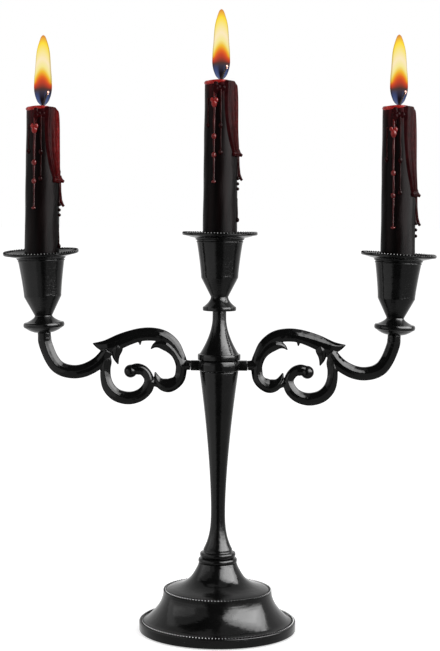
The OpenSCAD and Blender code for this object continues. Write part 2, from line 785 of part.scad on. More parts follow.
module wax_sheet(length) {
    rows = 7;
    cols = 4 * sheet_folds;
    back = (rows + 1) * (cols + 1);
    points = [
        for (behind = [false, true]) for (i = [0 : rows]) for (j = [0 : cols])
            sheet_point(length, i / rows, j / cols, behind)
    ];
    skins = [
        for (i = [0 : rows - 1]) for (j = [0 : cols - 1])
            let (a = i * (cols + 1) + j, b = a + 1, c = a + cols + 1, d = c + 1)
            each [
                [a, b, c], [b, d, c],
                [back + a, back + c, back + b], [back + b, back + c, back + d]
            ]
    ];
    ends = [
        for (j = [0 : cols - 1])
            let (a = j, b = j + 1, c = rows * (cols + 1) + j, d = c + 1)
            each [
                [a, back + a, b], [b, back + a, back + b],
                [c, d, back + c], [d, back + d, back + c]
            ]
    ];
    edges = [
        for (i = [0 : rows - 1])
            let (a = i * (cols + 1), c = a + cols + 1, b = a + cols, d = c + cols)
            each [
                [a, c, back + a], [c, back + c, back + a],
                [b, back + b, d], [d, back + b, back + d]
            ]
    ];
    polyhedron(points = points, faces = concat(skins, ends, edges));
}

module wax_runs(length) {
    color(wax_red) {
        wax_sheet(length);
        difference() {
            union() {
                for (s = run_shares) {
                    wax_run(length, s);
                }
                for (d = drop_shares) {
                    translate(on_coat(length, d[0], d[1] * run_reach)) rotate([0, 90, d[0] - 90])
                        sphere(r = run_r * d[2]);
                }
            }
            candle_body(length);
            translate([0, 0, length]) cylinder(r = 2 * candle_foot_r, h = candle_foot_r);
        }
    }
}

module centre_candle_coat() {
    at_centre_candle() candle_coat(centre_candle_l);
}

module centre_candle_core() {
    at_centre_candle() candle_core(centre_candle_l);
}

module centre_wax_runs() {
    at_centre_candle() wax_runs(centre_candle_l);
}

module centre_wick() {
    at_centre_candle() wick(centre_candle_l);
}

module centre_flame() {
    at_centre_candle() flame(centre_candle_l);
}

module left_candle_coat() {
    at_left_candle() candle_coat(left_candle_l);
}

module left_candle_core() {
    at_left_candle() candle_core(left_candle_l);
}

module left_wax_runs() {
    at_left_candle() wax_runs(left_candle_l);
}

module left_wick() {
    at_left_candle() wick(left_candle_l);
}

module left_flame() {
    at_left_candle() flame(left_candle_l);
}

module right_candle_coat() {
    at_right_candle() candle_coat(right_candle_l);
}

module right_candle_core() {
    at_right_candle() candle_core(right_candle_l);
}

module right_wax_runs() {
    at_right_candle() wax_runs(right_candle_l);
}

module right_wick() {
    at_right_candle() wick(right_candle_l);
}

module right_flame() {
    at_right_candle() flame(right_candle_l);
}

felt_pad();
base_plate();
base_shell();
rim_beading();
step_beading();
base_bolt();
base_washer();
stem_collar();
stem();
hub_stud();
riser();
centre_knop();
centre_cup();
centre_pan();
centre_pan_beading();
centre_cup_screw();
arm_hub();
arm_left();
arm_right();
left_knop();
right_knop();
left_cup();
right_cup();
left_pan();
right_pan();
left_pan_beading();
right_pan_beading();
side_cup_screws();
centre_candle_coat();
centre_candle_core();
centre_wax_runs();
centre_wick();
centre_flame();
left_candle_coat();
left_candle_core();
left_wax_runs();
left_wick();
left_flame();
right_candle_coat();
right_candle_core();
right_wax_runs();
right_wick();
right_flame();
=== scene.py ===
import math

import bmesh
import bpy
from mathutils import Matrix, Vector


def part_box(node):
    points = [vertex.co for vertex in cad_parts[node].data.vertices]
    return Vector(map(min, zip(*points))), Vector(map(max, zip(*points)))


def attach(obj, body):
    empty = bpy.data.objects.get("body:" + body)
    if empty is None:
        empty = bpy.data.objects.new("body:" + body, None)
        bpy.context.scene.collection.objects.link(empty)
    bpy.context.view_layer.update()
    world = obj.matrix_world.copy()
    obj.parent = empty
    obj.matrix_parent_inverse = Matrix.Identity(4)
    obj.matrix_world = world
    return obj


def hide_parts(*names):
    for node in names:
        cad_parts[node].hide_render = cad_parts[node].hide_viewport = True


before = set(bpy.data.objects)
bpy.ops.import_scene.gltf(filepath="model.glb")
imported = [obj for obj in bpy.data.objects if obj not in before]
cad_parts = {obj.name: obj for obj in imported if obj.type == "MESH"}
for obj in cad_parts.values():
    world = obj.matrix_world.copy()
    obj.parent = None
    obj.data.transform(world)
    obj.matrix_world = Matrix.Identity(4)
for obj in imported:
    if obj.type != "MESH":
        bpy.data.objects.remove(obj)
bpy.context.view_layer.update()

MM = 0.001
SIDES = {"left": -1, "right": 1}

# Sizes in millimetres and degrees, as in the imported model
FOOT_R = 52
RIM_BAND_H = 6.8
RIM_SHOULDER_W = 3.4
STEP_Z = 27
STEP_R = 35.2
CROWN_Z = 45
CROWN_R = 12.6
FOOT_WALL = 2.6
FOOT_BEAD_R = 0.85
PLATE_TOP_Z = 3.5
FELT_PROUD = 0.6
BOLT_HOLE_R = 3.1
COLLAR_H = 9
COLLAR_R = 12.9
STEM_FOOT_R = 9.6
STEM_WAIST_R = 4.75
STEM_TOP_R = 12.9
STEM_H = 118.5
WAIST_SHARE = 0.225
HUB_H = 7.5
LUG_REACH = 19
LUG_SIZE = 6.6
ARM_REACH = 116.7
ARM_RISE = 21.1
STRAND_W = 8.8
RIDGE_DEPTH = 8.4
EDGE_DEPTH = 3.6
CUP_LEAN = 2.8
FLANGE_R = 14.3
FLANGE_T = 4
RISER_H = 32.7
RISER_NECK_R = 4.6
CENTRE_KNOP_R = 11.2
CENTRE_KNOP_H = 9.3
SIDE_KNOP_R = 13.7
SIDE_KNOP_H = 11.4
CUP_NECK_R = 5.8
CUP_BREAK_R = 12.4
CUP_CONE_H = 12.8
CUP_MOUTH_R = 15.6
CUP_H = 38
CUP_WALL = 1.1
SOCKET_FLOOR_Z = 15.6
SOCKET_FLOOR_R = 11.48
SOCKET_MOUTH_R = 14.5
PAN_R = 25.2
PAN_H = 5.5
PAN_T = 1.3
PAN_BEAD_R = 0.9
PAN_INNER_R = 12.85
BEAD_PITCH = 2.1
CANDLE_FOOT_R = 11.7
CANDLE_TOP_R = 10.9
CANDLE_BUTT_R = 10.4
CANDLE_BUTT_L = 20
CANDLE_LENGTHS = {"left": 122.5, "centre": 128, "right": 124.5}
COAT_T = 1.7
POOL_DEPTH = 2.2
WICK_R = 0.9
WICK_OUT_L = 9
FLAME_H = 47.5
FLAME_R = 6
RUN_R = 1.25
RUN_REACH = 94

# Sizes of this scene only: the pans sit askew, and the wax has run further down on the right candle
PAN_TILTS = {"left": 3.4, "right": 0.4}
REACHES = {"left": RUN_REACH, "centre": RUN_REACH, "right": RUN_REACH * 1.2}
BEAD_SQUEEZE = 0.56
CUP_LIP_H = 1.9
COAT_LIP = 0.7
# The melted shoulder: its sink, the depth over which that fades, and the sink at which the wax is fully drawn in
SHOULDER_SINK = 3.8
SHOULDER_FADE = 5.0
FULL_SINK = 3.4
COAT_PULL = 0.055
SHEET_PULL = 0.045
SHEET_FLUTES = 3.4

STEM_Z = CROWN_Z + COLLAR_H
HUB_Z = STEM_Z + STEM_H
RISER_Z = HUB_Z + HUB_H
CENTRE_KNOP_Z = RISER_Z + RISER_H
HUB_MID_Z = HUB_Z + HUB_H / 2
SEAT_Z = HUB_MID_Z + ARM_RISE
PAN_RIM_Z = CUP_H + PAN_H
PAN_SEAT_Z = PAN_RIM_Z - PAN_BEAD_R
CORE_R = CANDLE_BUTT_R - COAT_T
FLAME_FOOT_Z = POOL_DEPTH / 4

# Shading, with distances in metres


class Nodes:
    """The nodes of a new material or world. Where a call takes a value, it takes another node's socket as well."""

    def __init__(self, name, world=False):
        self.owner = bpy.data.worlds.new(name) if world else bpy.data.materials.new(name)
        self.owner.use_nodes = True
        self.tree = self.owner.node_tree
        self.shader = self.tree.nodes["Background" if world else "Principled BSDF"]

    def put(self, value, socket):
        """Sets a socket to a value, or links another socket to it."""
        if isinstance(value, bpy.types.NodeSocket):
            self.tree.links.new(value, socket)
        else:
            socket.default_value = value

    def add(self, kind, inputs=None, **settings):
        """A new node, with inputs by their names or numbers."""
        node = self.tree.nodes.new("ShaderNode" + kind)
        for key, value in settings.items():
            setattr(node, key, value)
        for key, value in (inputs or {}).items():
            self.put(value, node.inputs[key])
        return node

    def shade(self, **values):
        """Fills the shader's inputs, with _ for a space in their names, and returns the material or world."""
        for key, value in values.items():
            self.put(value, self.shader.inputs[key.replace("_", " ")])
        return self.owner

    def place(self):
        """The point in the piece's own frame."""
        return self.add("TexCoord").outputs["Object"]

    def split(self, vector):
        """The three parts of a vector."""
        return self.add("SeparateXYZ", {0: vector}).outputs

    def noise(self, vector, scale, detail=2.0, roughness=0.5):
        """Cloudy noise, whose scale is in clouds to the metre."""
        inputs = {"Vector": vector, "Scale": scale, "Detail": detail, "Roughness": roughness}
        return self.add("TexNoise", inputs).outputs["Fac"]

    def math(self, operation, a, b=0.0):
        """A sum with one or two numbers."""
        return self.add("Math", {0: a, 1: b}, operation=operation).outputs[0]

    def mix(self, factor, a, b, blend="MIX"):
        """Colour b laid over colour a."""
        return self.add("Mix", {"Factor": factor, 6: a, 7: b}, data_type="RGBA", blend_type=blend).outputs[2]

    def ramp(self, factor, stops):
        """A colour ramp; stops are (position, colour or level of grey)."""
        node = self.add("ValToRGB", {"Fac": factor})
        elements = node.color_ramp.elements
        while len(elements) < len(stops):
            elements.new(0.5)
        for element, (position, colour) in zip(elements, stops):
            element.position = position
            element.color = (*colour, 1.0) if isinstance(colour, tuple) else (*[colour] * 3, 1.0)
        return node.outputs["Color"]

    def span(self, factor, low, high):
        """Maps 0 to 1 onto low to high."""
        return self.add("MapRange", {"Value": factor, "To Min": low, "To Max": high}).outputs["Result"]

    def bump(self, height, distance, strength, normal=None):
        """A normal bent by the slope of a height, after another normal if there is one."""
        inputs = {"Height": height, "Distance": distance, "Strength": strength}
        if normal is not None:
            inputs["Normal"] = normal
        return self.add("Bump", inputs).outputs["Normal"]


def enamel(name, lathe_marks, gloss=0.12):
    """Gloss black enamel over cast metal, with turning marks round the axis where lathe_marks is above zero."""
    n = Nodes(name)
    place = n.place()
    mottle = n.noise(place, 90, 4, 0.6)
    waviness = n.noise(place, 110)
    orange_peel = n.noise(place, 420, 3, 0.55)
    normal = n.bump(waviness, 0.0012, 0.12 if lathe_marks else 0.4)
    normal = n.bump(orange_peel, 0.0001, 0.35, normal)
    roughness = n.span(n.noise(place, 55, 5, 0.65), 0.05, 0.15)
    if lathe_marks:
        x, y, z = n.split(place)
        radius = n.math("SQRT", n.math("ADD", n.math("POWER", x, 2.0), n.math("POWER", y, 2.0)))
        turn = n.math("ARCTAN2", x, n.math("MULTIPLY", y, -1.0))
        along = n.math("MULTIPLY", turn, 0.0035)
        across = n.math("ADD", n.math("MULTIPLY", radius, 0.83), z)
        marks = n.add("CombineXYZ", {"X": along, "Y": across}).outputs[0]
        broad_marks = n.noise(marks, 700, 3, 0.6)
        fine_marks = n.noise(marks, 2600, 3, 0.6)
        normal = n.bump(broad_marks, 0.00009, lathe_marks, normal)
        normal = n.bump(fine_marks, 0.00002, lathe_marks, normal)
        roughness = n.math("ADD", roughness, n.math("MULTIPLY", fine_marks, 0.06))
    return n.shade(
        Base_Color=n.ramp(mottle, [(0.3, 0.0025), (0.75, 0.005)]), Roughness=roughness, Normal=normal,
        IOR=1.5, Specular_IOR_Level=gloss,
    )


def gap_shade_paint():
    """Matt black in the gaps between the beads: painted shade, where the beads shade each other."""
    n = Nodes("painted_gap_shade")
    place = n.place()
    return n.shade(
        Base_Color=n.ramp(n.noise(place, 600, 3), [(0.3, 0.001), (0.7, 0.003)]),
        Roughness=n.span(n.noise(place, 300, 3), 0.85, 1.0), Specular_IOR_Level=0.0,
    )


def steel():
    """Zinc-plated steel."""
    n = Nodes("zinc_steel")
    place = n.place()
    return n.shade(
        Base_Color=n.ramp(n.noise(place, 150, 4, 0.6), [(0.3, (0.42, 0.42, 0.43)), (0.7, 0.6)]),
        Roughness=n.span(n.noise(place, 400, 3), 0.28, 0.5), Normal=n.bump(n.noise(place, 1800), 0.00003, 0.4),
        Metallic=1.0,
    )


def felt():
    """Black felt."""
    n = Nodes("black_felt")
    fibre = n.noise(n.place(), 2600, 4, 0.7)
    return n.shade(
        Base_Color=n.ramp(fibre, [(0.3, 0.008), (0.7, 0.045)]), Roughness=0.95, Normal=n.bump(fibre, 0.0003, 0.8),
        Specular_IOR_Level=0.1, Sheen_Weight=0.5, Sheen_Roughness=0.6,
    )


def wax_place(n):
    """A point in its candle's frame, its x, and its depth below the candle's top as a share of RUN_REACH."""
    place = n.place()
    x, _, z = n.split(place)
    return place, x, n.math("DIVIDE", z, -RUN_REACH * MM)


def black_wax():
    """Near-black wax with a satin bloom, faint vertical flow, and red smeared into it towards the top."""
    n = Nodes("black_wax")
    place, _, depth = wax_place(n)
    drawn_out = n.add("Mapping", {"Vector": place, "Scale": (1.0, 1.0, 0.12)}).outputs[0]
    flow = n.noise(drawn_out, 420, 4, 0.6)
    black = n.ramp(flow, [
        (0.25, (0.001, 0.0009, 0.0009)), (0.6, (0.0016, 0.0013, 0.0013)), (0.85, (0.004, 0.003, 0.003)),
    ])
    near_top = n.ramp(depth, [(0.0, 0.9), (0.1, 0.4), (0.22, 0.12), (0.6, 0.03)])
    smear = n.ramp(n.noise(drawn_out, 190, 3, 0.6), [(0.42, 0.2), (0.62, 1.0)])
    return n.shade(
        Base_Color=n.mix(n.math("MULTIPLY", smear, near_top), black, (0.05, 0.004, 0.006, 1.0)),
        Roughness=n.span(flow, 0.25, 0.37),
        Normal=n.bump(n.noise(place, 900, 3), 0.00008, 0.4, n.bump(flow, 0.0003, 0.3)),
        IOR=1.42, Specular_IOR_Level=0.032,
        Subsurface_Weight=0.03, Subsurface_Scale=0.002, Subsurface_Radius=(1.0, 0.2, 0.15),
    )


# How far the red wax of the trails and of the sheet has mixed with the black coat
TRAIL_DARK, SHEET_DARK = 0.75, 0.9


def red_wax(name, dark, gloss, painted_glow_share=1.0):
    """Deep red translucent wax, with the flame's light painted in as a brighter, redder copy towards the top; dark is
    how far it has mixed with the black coat.
    """
    n = Nodes(name)
    place, x, depth = wax_place(n)
    tone = n.noise(place, 330, 4, 0.6)
    keep = 1.0 - dark
    # Two copies of the red: unlit, in painted shade, and lit, with the flame's light painted in
    unlit = n.ramp(tone, [
        (0.3, (0.007 + 0.03 * keep, 0.001 + 0.007 * keep, 0.0015 + 0.007 * keep)),
        (0.6, (0.012 + 0.08 * keep, 0.0012 + 0.018 * keep, 0.002 + 0.017 * keep)),
        (0.8, (0.018 + 0.15 * keep, 0.0015 + 0.04 * keep, 0.002 + 0.037 * keep)),
    ])
    lit = n.ramp(tone, [
        (0.3, (0.1 + 0.07 * keep, 0.001, 0.001)),
        (0.6, (0.17 + 0.2 * keep, 0.001 + 0.02 * keep, 0.001 + 0.016 * keep)),
        (0.8, (0.24 + 0.32 * keep, 0.002 + 0.07 * keep, 0.002 + 0.05 * keep)),
    ])
    # How much of the painted flame light shows: it fades with depth, and on the sheet it is also scaled for each
    # candle and painted strongest towards the right edge
    if dark == SHEET_DARK:
        glow = n.ramp(depth, [(0.0, 0.5), (0.08, 0.75), (0.3, 0.7), (0.45, 0.3), (0.6, 0.1)])
        right_edge_glow = n.ramp(n.math("MULTIPLY", x, 80.0), [(0.5, 0.06), (0.7, 0.4), (0.86, 1.4)])
        painted_flame_glow = n.math("MULTIPLY", n.math("MULTIPLY", glow, painted_glow_share), right_edge_glow)
    else:
        painted_flame_glow = n.ramp(depth, [(0.0, 1.0), (0.05, 1.0 - 0.8 * dark), (0.2, 0.4 - 0.38 * dark), (0.75, 0.04)])
    colour = n.mix(painted_flame_glow, unlit, lit)
    if dark == TRAIL_DARK:
        across = n.math("ADD", n.math("MULTIPLY", x, 50.0), 0.5)
        main_run = n.ramp(across, [(0.2, 0.3), (0.27, 1.0), (0.42, 1.0), (0.48, 0.3)])
        colour = n.mix(1.0, colour, main_run, "MULTIPLY")
        gloss = n.math("MULTIPLY", main_run, gloss)
    return n.shade(
        Base_Color=colour, Roughness=n.span(tone, 0.14, 0.3), Normal=n.bump(n.noise(place, 700, 3), 0.0001, 0.4),
        IOR=1.44, Specular_IOR_Level=gloss,
        Subsurface_Weight=0.2, Subsurface_Scale=0.0012, Subsurface_Radius=(1.0, 0.1, 0.08),
    )


def charred_wick():
    """Black twisted thread."""
    n = Nodes("charred_wick")
    inputs = {"Vector": n.place(), "Scale": 900, "Distortion": 3}
    strand = n.add("TexWave", inputs, bands_direction="DIAGONAL").outputs["Fac"]
    return n.shade(
        Base_Color=n.ramp(strand, [(0.2, 0.004), (0.9, (0.03, 0.014, 0.01))]), Roughness=0.9,
        Normal=n.bump(strand, 0.0003, 0.8), Specular_IOR_Level=0.2,
    )


def ember():
    """The glowing ash at the end of the wick."""
    n = Nodes("wick_ember")
    ash = n.noise(n.place(), 1500)
    glow = n.ramp(ash, [(0.35, (0.5, 0.06, 0.02)), (0.55, (1.0, 0.55, 0.4)), (0.7, (1.0, 0.9, 0.85))])
    return n.shade(Base_Color=glow, Emission_Color=glow, Emission_Strength=1.6, Roughness=0.8)


# The flame's outline: shares of its radius and of its height
FLAME_SHARES = [
    (0.1, 0.004), (0.3, 0.02), (0.5, 0.045), (0.66, 0.075), (0.8, 0.12), (0.9, 0.16), (0.98, 0.22), (1, 0.28),
    (0.965, 0.41), (0.885, 0.52), (0.775, 0.715), (0.65, 0.815), (0.46, 0.9), (0.31, 0.955), (0.18, 0.985), (0, 1),
]


def flame_gas():
    """Glowing gas: a dark and blue foot, a red dome that turns yellow and cream above, and an orange tip."""
    n = Nodes("flame_gas")
    place = n.place()
    x, _, z = n.split(place)
    height = n.math("DIVIDE", n.math("SUBTRACT", z, FLAME_FOOT_Z * MM), FLAME_H * MM)
    across = n.math("DIVIDE", n.math("ABSOLUTE", x), FLAME_R * MM)
    half_width = n.ramp(height, [(share, max(r, 0.05)) for r, share in FLAME_SHARES])
    edge = n.math("DIVIDE", across, half_width)
    lick = n.math("MULTIPLY", n.math("SUBTRACT", n.noise(place, 160), 0.5), 0.02)
    arch = n.math("MULTIPLY", n.math("POWER", across, 2.0), n.ramp(height, [(0.2, 0.0), (0.33, 0.19)]))
    dome = n.math("ADD", n.math("ADD", height, arch), lick)
    glow = n.ramp(dome, [
        (0.2, (0.06, 0.04, 0.05)), (0.235, (0.08, 0.036, 0.03)), (0.27, (0.22, 0.04, 0.027)),
        (0.32, (0.46, 0.052, 0.026)), (0.36, (0.6, 0.07, 0.025)), (0.41, (0.78, 0.15, 0.02)),
        (0.45, (0.85, 0.33, 0.03)), (0.485, (0.88, 0.54, 0.045)), (0.55, (0.92, 0.81, 0.3)),
        (0.66, (0.98, 0.82, 0.52)), (0.77, (0.96, 0.8, 0.28)), (0.88, (1.0, 0.74, 0.05)),
        (0.95, (0.86, 0.42, 0.05)), (1.0, (0.6, 0.2, 0.06)),
    ])
    blue = n.ramp(height, [
        (0.0, (0.16, 0.17, 0.22)), (0.05, (0.09, 0.12, 0.25)), (0.12, (0.055, 0.08, 0.2)), (0.17, (0.05, 0.06, 0.13)),
        (0.22, (0.075, 0.05, 0.05)),
    ])
    core = n.ramp(height, [
        (0.0, (0.012, 0.004, 0.004)), (0.1, (0.01, 0.007, 0.01)), (0.16, (0.03, 0.025, 0.04)),
        (0.2, (0.045, 0.036, 0.05)), (0.24, (0.08, 0.036, 0.03)),
    ])
    foot = n.mix(n.ramp(edge, [(0.22, 0.0), (0.5, 0.8), (0.8, 1.0)]), core, blue)
    gas = n.mix(n.ramp(height, [(0.195, 0.0), (0.25, 1.0)]), foot, glow)
    rim = n.ramp(edge, [(0.82, 1.0), (0.96, (0.66, 0.6, 0.46))])
    return n.shade(
        Base_Color=n.ramp(height, [(0.0, 0.0), (1.0, 0.001)]), Roughness=1.0, Specular_IOR_Level=0.0,
        Emission_Color=n.mix(1.0, gas, rim, "MULTIPLY"), Emission_Strength=1.0,
    )


TURNED = enamel("turned_enamel", 1.5)
RUBBED = enamel("rubbed_enamel", 0.0, 0.6)
PAN_BEADS = enamel("pan_bead_enamel", 0.0, 0.28)
CAST = enamel("cast_enamel", 0.0, 0.1)
# Matt black of painted shade for the gaps between beads
GAP_SHADE_PAINT = gap_shade_paint()
STEEL = steel()
FELT = felt()
BLACK_WAX = black_wax()
RED_WAX = red_wax("red_wax", 0.0, 0.12)
TRAIL_WAX = red_wax("wax_of_the_trails", TRAIL_DARK, 0.1)
# Each candle's sheet takes its own share of the painted flame light
DARK_WAXES = {
    side: red_wax("dark_red_wax_" + side, SHEET_DARK, 0.012, painted_glow_share)
    for side, painted_glow_share in {"left": 1.0, "centre": 0.3, "right": 0.2}.items()
}
WICK = charred_wick()
EMBER = ember()
FLAME_GAS = flame_gas()

# Mesh helpers, in millimetres

CREASE = math.radians(32)
TUBE_SIDES = 12


def show(name, data):
    """A new object in the scene."""
    thing = bpy.data.objects.new(name, data)
    bpy.context.scene.collection.objects.link(thing)
    return thing


def finish_mesh(name, mesh, material, place=Matrix()):
    """Makes an object of a bmesh, smooth but for edges sharper than CREASE."""
    bmesh.ops.recalc_face_normals(mesh, faces=mesh.faces)
    data = bpy.data.meshes.new(name)
    mesh.to_mesh(data)
    mesh.free()
    for face in data.polygons:
        face.use_smooth = True
    data.set_sharp_from_angle(angle=CREASE)
    data.materials.append(material)
    piece = show(name, data)
    piece.matrix_world = place
    return piece


def dress(piece, body, slot, *nodes):
    """Rides a finished piece on its body in place of CAD nodes."""
    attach(piece, body)
    if nodes:
        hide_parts(*nodes)


def at(x, y, z):
    """The move to a point."""
    return Matrix.Translation((x * MM, y * MM, z * MM))


def turns(count):
    """Angles in equal steps round a full turn."""
    return [2 * math.pi * i / count for i in range(count)]


def shares(steps):
    """Shares from 0 to 1 in equal steps."""
    return [i / steps for i in range(steps + 1)]


def skin(mesh, rows, ring=True):
    """Faces between rows of points, each a ring or an open line; a row of one point makes a pole."""
    for low, high in zip(rows, rows[1:]):
        count = max(len(low), len(high))
        for i in range(count if ring else count - 1):
            j = (i + 1) % count
            corners = (low[i % len(low)], low[j % len(low)], high[j % len(high)], high[i % len(high)])
            corners = tuple(dict.fromkeys(corners))
            if len(corners) > 2:
                mesh.faces.new(corners)


def revolve(mesh, outline, segments=144, closed=False):
    """Adds a turned shape: outline is (radius, height), and a radius of 0 makes a pole."""
    rings = []
    for r, z in outline:
        angles = turns(segments) if r > 1e-6 else [0]
        rings.append([mesh.verts.new((r * math.cos(t) * MM, r * math.sin(t) * MM, z * MM)) for t in angles])
    skin(mesh, rings + rings[:1] if closed else rings)


def turn_piece(name, outline, body, *nodes, material=TURNED, slot="enamel", place=Matrix(), **shape):
    """Makes and dresses a piece that is turned from its outline alone."""
    mesh = bmesh.new()
    revolve(mesh, outline, **shape)
    dress(finish_mesh(name, mesh, material, place), body, slot, *nodes)


def make_beading(name, body, ring_r, z, bead_r, paint, node, place=Matrix()):
    """A ring of cast beads, narrower along the ring than across it, and a matt black ring of painted shade in the gaps
    between them.
    """
    mesh = bmesh.new()
    for turn in turns(round(2 * math.pi * ring_r / BEAD_PITCH)):
        spot = at(ring_r * math.cos(turn), ring_r * math.sin(turn), z) @ Matrix.Rotation(turn, 4, "Z")
        spot = spot @ Matrix.Diagonal((1, BEAD_SQUEEZE, 1, 1))
        bmesh.ops.create_icosphere(mesh, subdivisions=2, radius=bead_r * MM, matrix=spot)
    dress(finish_mesh(name + "_row", mesh, paint, place), body, "enamel", node)
    half, low, top = bead_r * 0.92, z - 0.1, z + bead_r * 0.4
    # Matt black ring under the beads: painted shade in their gaps
    turn_piece(name + "_painted_shade_ring", [
        (ring_r - half, low), (ring_r + half, low), (ring_r + half * 0.8, top), (ring_r - half * 0.8, top),
    ], body, material=GAP_SHADE_PAINT, place=place, closed=True)


def swell(r0, r1, z0, z1, power, steps=24):
    """Radius grows from r0 to r1 by a power of the height."""
    return [(r0 + (r1 - r0) * (i / steps) ** power, z0 + (z1 - z0) * i / steps) for i in range(steps + 1)]


def settle(r0, r1, z0, z1, power, steps=24):
    """Radius falls from r0, fast at first and slowly towards r1."""
    return [(r1 + (r0 - r1) * (1 - i / steps) ** power, z0 + (z1 - z0) * i / steps) for i in range(steps + 1)]


def round_edge(r, bulge, z0, z1, steps=14):
    """A half-round edge that stands out from radius r by bulge."""
    angles = [math.pi * i / steps for i in range(steps + 1)]
    return [(r + bulge * math.sin(turn), z0 + (z1 - z0) * (1 - math.cos(turn)) / 2) for turn in angles]


def disc_edge(r, z0, z1, ease):
    """The edge of a flat disc, with both corners eased."""
    return [
        (r - ease, z0), (r - ease * 0.3, z0 + ease * 0.3), (r, z0 + ease),
        (r, z1 - ease), (r - ease * 0.3, z1 - ease * 0.3), (r - ease, z1),
    ]


def quarter(r, z, size, start, steps=4):
    """A rounded corner about (r, z): a quarter turn from start degrees."""
    angles = [math.radians(start + 90 * k / steps) for k in range(steps + 1)]
    return [(r + size * math.cos(turn), z + size * math.sin(turn)) for turn in angles]


def curve(points, steps):
    """A smooth curve through points, with a number of steps in each span."""
    out = []
    ends = [points[0], *points, points[-1]]
    for four in zip(ends, ends[1:], ends[2:], ends[3:]):
        for t in shares(steps)[:-1]:
            out.append(tuple(
                0.5 * (2 * q + (r - p) * t + (2 * p - 5 * q + 4 * r - w) * t * t + (3 * q - p - 3 * r + w) * t ** 3)
                for p, q, r, w in zip(*four)
            ))
    out.append(tuple(points[-1]))
    return out


# Foot: its upper tier as shares of the way out to the step and of the way up to the crown

UPPER_TIER_SHARES = [(1, 0), (0.94, 0.05), (0.53, 0.21), (0.26, 0.44), (0.07, 0.79), (0, 1)]


def make_foot():
    """The hollow foot casting and its two rings of beads."""
    edge = FOOT_BEAD_R * 0.6
    pad_r = FOOT_R - 2 * FOOT_WALL
    ring_r = FOOT_R - 2 * FOOT_BEAD_R
    inner = ring_r - FOOT_BEAD_R
    upper_r = STEP_R - FOOT_BEAD_R
    lower = settle(FOOT_R - RIM_SHOULDER_W, STEP_R + FOOT_BEAD_R, RIM_BAND_H, STEP_Z, 2.1, 36)
    upper = [
        (CROWN_R + (upper_r - CROWN_R) * a, STEP_Z + (CROWN_Z - STEP_Z) * b) for a, b in curve(UPPER_TIER_SHARES, 8)
    ]
    inside = [(r - FOOT_WALL, z - FOOT_WALL) for r, z in lower + upper if z > PLATE_TOP_Z + FOOT_WALL]
    turn_piece("foot_casting", [
        (pad_r, FELT_PROUD),
        *quarter(FOOT_R - edge, FELT_PROUD + edge, edge, -90),
        *quarter(FOOT_R - edge, RIM_BAND_H - edge, edge, 0),
        (inner - 0.1, RIM_BAND_H), (inner - 0.25, RIM_BAND_H + 0.35), (inner - 0.5, RIM_BAND_H + 0.45),
        *((r, z) for r, z in lower if z > RIM_BAND_H + 0.7),
        *upper,
        (BOLT_HOLE_R, CROWN_Z), (BOLT_HOLE_R, CROWN_Z - FOOT_WALL),
        *reversed(inside),
        (inside[0][0], PLATE_TOP_Z), (pad_r, PLATE_TOP_Z),
    ], "column", "base_shell", segments=216, closed=True)
    make_beading("rim_beads", "column", ring_r, RIM_BAND_H, FOOT_BEAD_R, RUBBED, "rim_beading")
    make_beading("step_beads", "column", STEP_R, STEP_Z, FOOT_BEAD_R, RUBBED, "step_beading")


def make_collar():
    """The collar's two rings between foot and stem."""
    ring_h = COLLAR_H * 0.35
    groove_r = (COLLAR_R + STEM_FOOT_R) / 2
    turn_piece("collar_rings", [
        (0, CROWN_Z),
        *round_edge(COLLAR_R - ring_h / 4, ring_h / 4, CROWN_Z, CROWN_Z + ring_h),
        (groove_r, CROWN_Z + ring_h * 1.12), (groove_r - 0.25, CROWN_Z + ring_h * 1.22),
        *round_edge(groove_r, ring_h / 5, CROWN_Z + ring_h * 1.3, CROWN_Z + ring_h * 2.2),
        (STEM_FOOT_R + 0.2, CROWN_Z + ring_h * 2.35), (STEM_FOOT_R, CROWN_Z + ring_h * 2.5),
        (STEM_FOOT_R, STEM_Z), (0, STEM_Z),
    ], "column", "stem_collar")


def make_stem():
    """The trumpet-shaped stem, narrow above its foot and wide at the top."""
    waist_z = STEM_Z + STEM_H * WAIST_SHARE
    edge = HUB_H / 10
    turn_piece("trumpet_stem", [
        (0, STEM_Z),
        *settle(STEM_FOOT_R, STEM_WAIST_R, STEM_Z, waist_z, 3, 30),
        *swell(STEM_WAIST_R, STEM_TOP_R, waist_z, HUB_Z - edge, 1.57, 60)[1:],
        (STEM_TOP_R - 0.1, HUB_Z - edge / 3), (STEM_TOP_R - 0.4, HUB_Z), (0, HUB_Z),
    ], "column", "stem")


def make_riser():
    """The riser: a flange, and a hollow curve up to its neck."""
    edge = FLANGE_T / 6
    z0, z1 = RISER_Z, RISER_Z + FLANGE_T
    turn_piece("flanged_riser", [
        (0, z0),
        *disc_edge(FLANGE_R, z0, z1, edge),
        *settle(FLANGE_R - 2 * edge, RISER_NECK_R, z1, RISER_Z + RISER_H * 0.85, 1.8, 40),
        (RISER_NECK_R, RISER_Z + RISER_H), (0, RISER_Z + RISER_H),
    ], "column", "riser")


def make_centre_knop():
    """The flat-edged disc under the centre cup."""
    z0, z1 = CENTRE_KNOP_Z, CENTRE_KNOP_Z + CENTRE_KNOP_H
    disc_t = CENTRE_KNOP_H * 0.3
    edge = disc_t / 5
    turn_piece("centre_disc_knop", [
        (0, z0),
        *disc_edge(CENTRE_KNOP_R, z0, z0 + disc_t, edge)[:-1],
        *settle(CENTRE_KNOP_R - edge, CUP_NECK_R, z0 + disc_t, z1, 1.8),
        (0, z1),
    ], "column", "centre_knop")


def seat_place(side):
    """The frame of a side cup's seat on its arm."""
    return at(side * ARM_REACH, 0, SEAT_Z) @ Matrix.Rotation(math.radians(side * CUP_LEAN), 4, "Y")


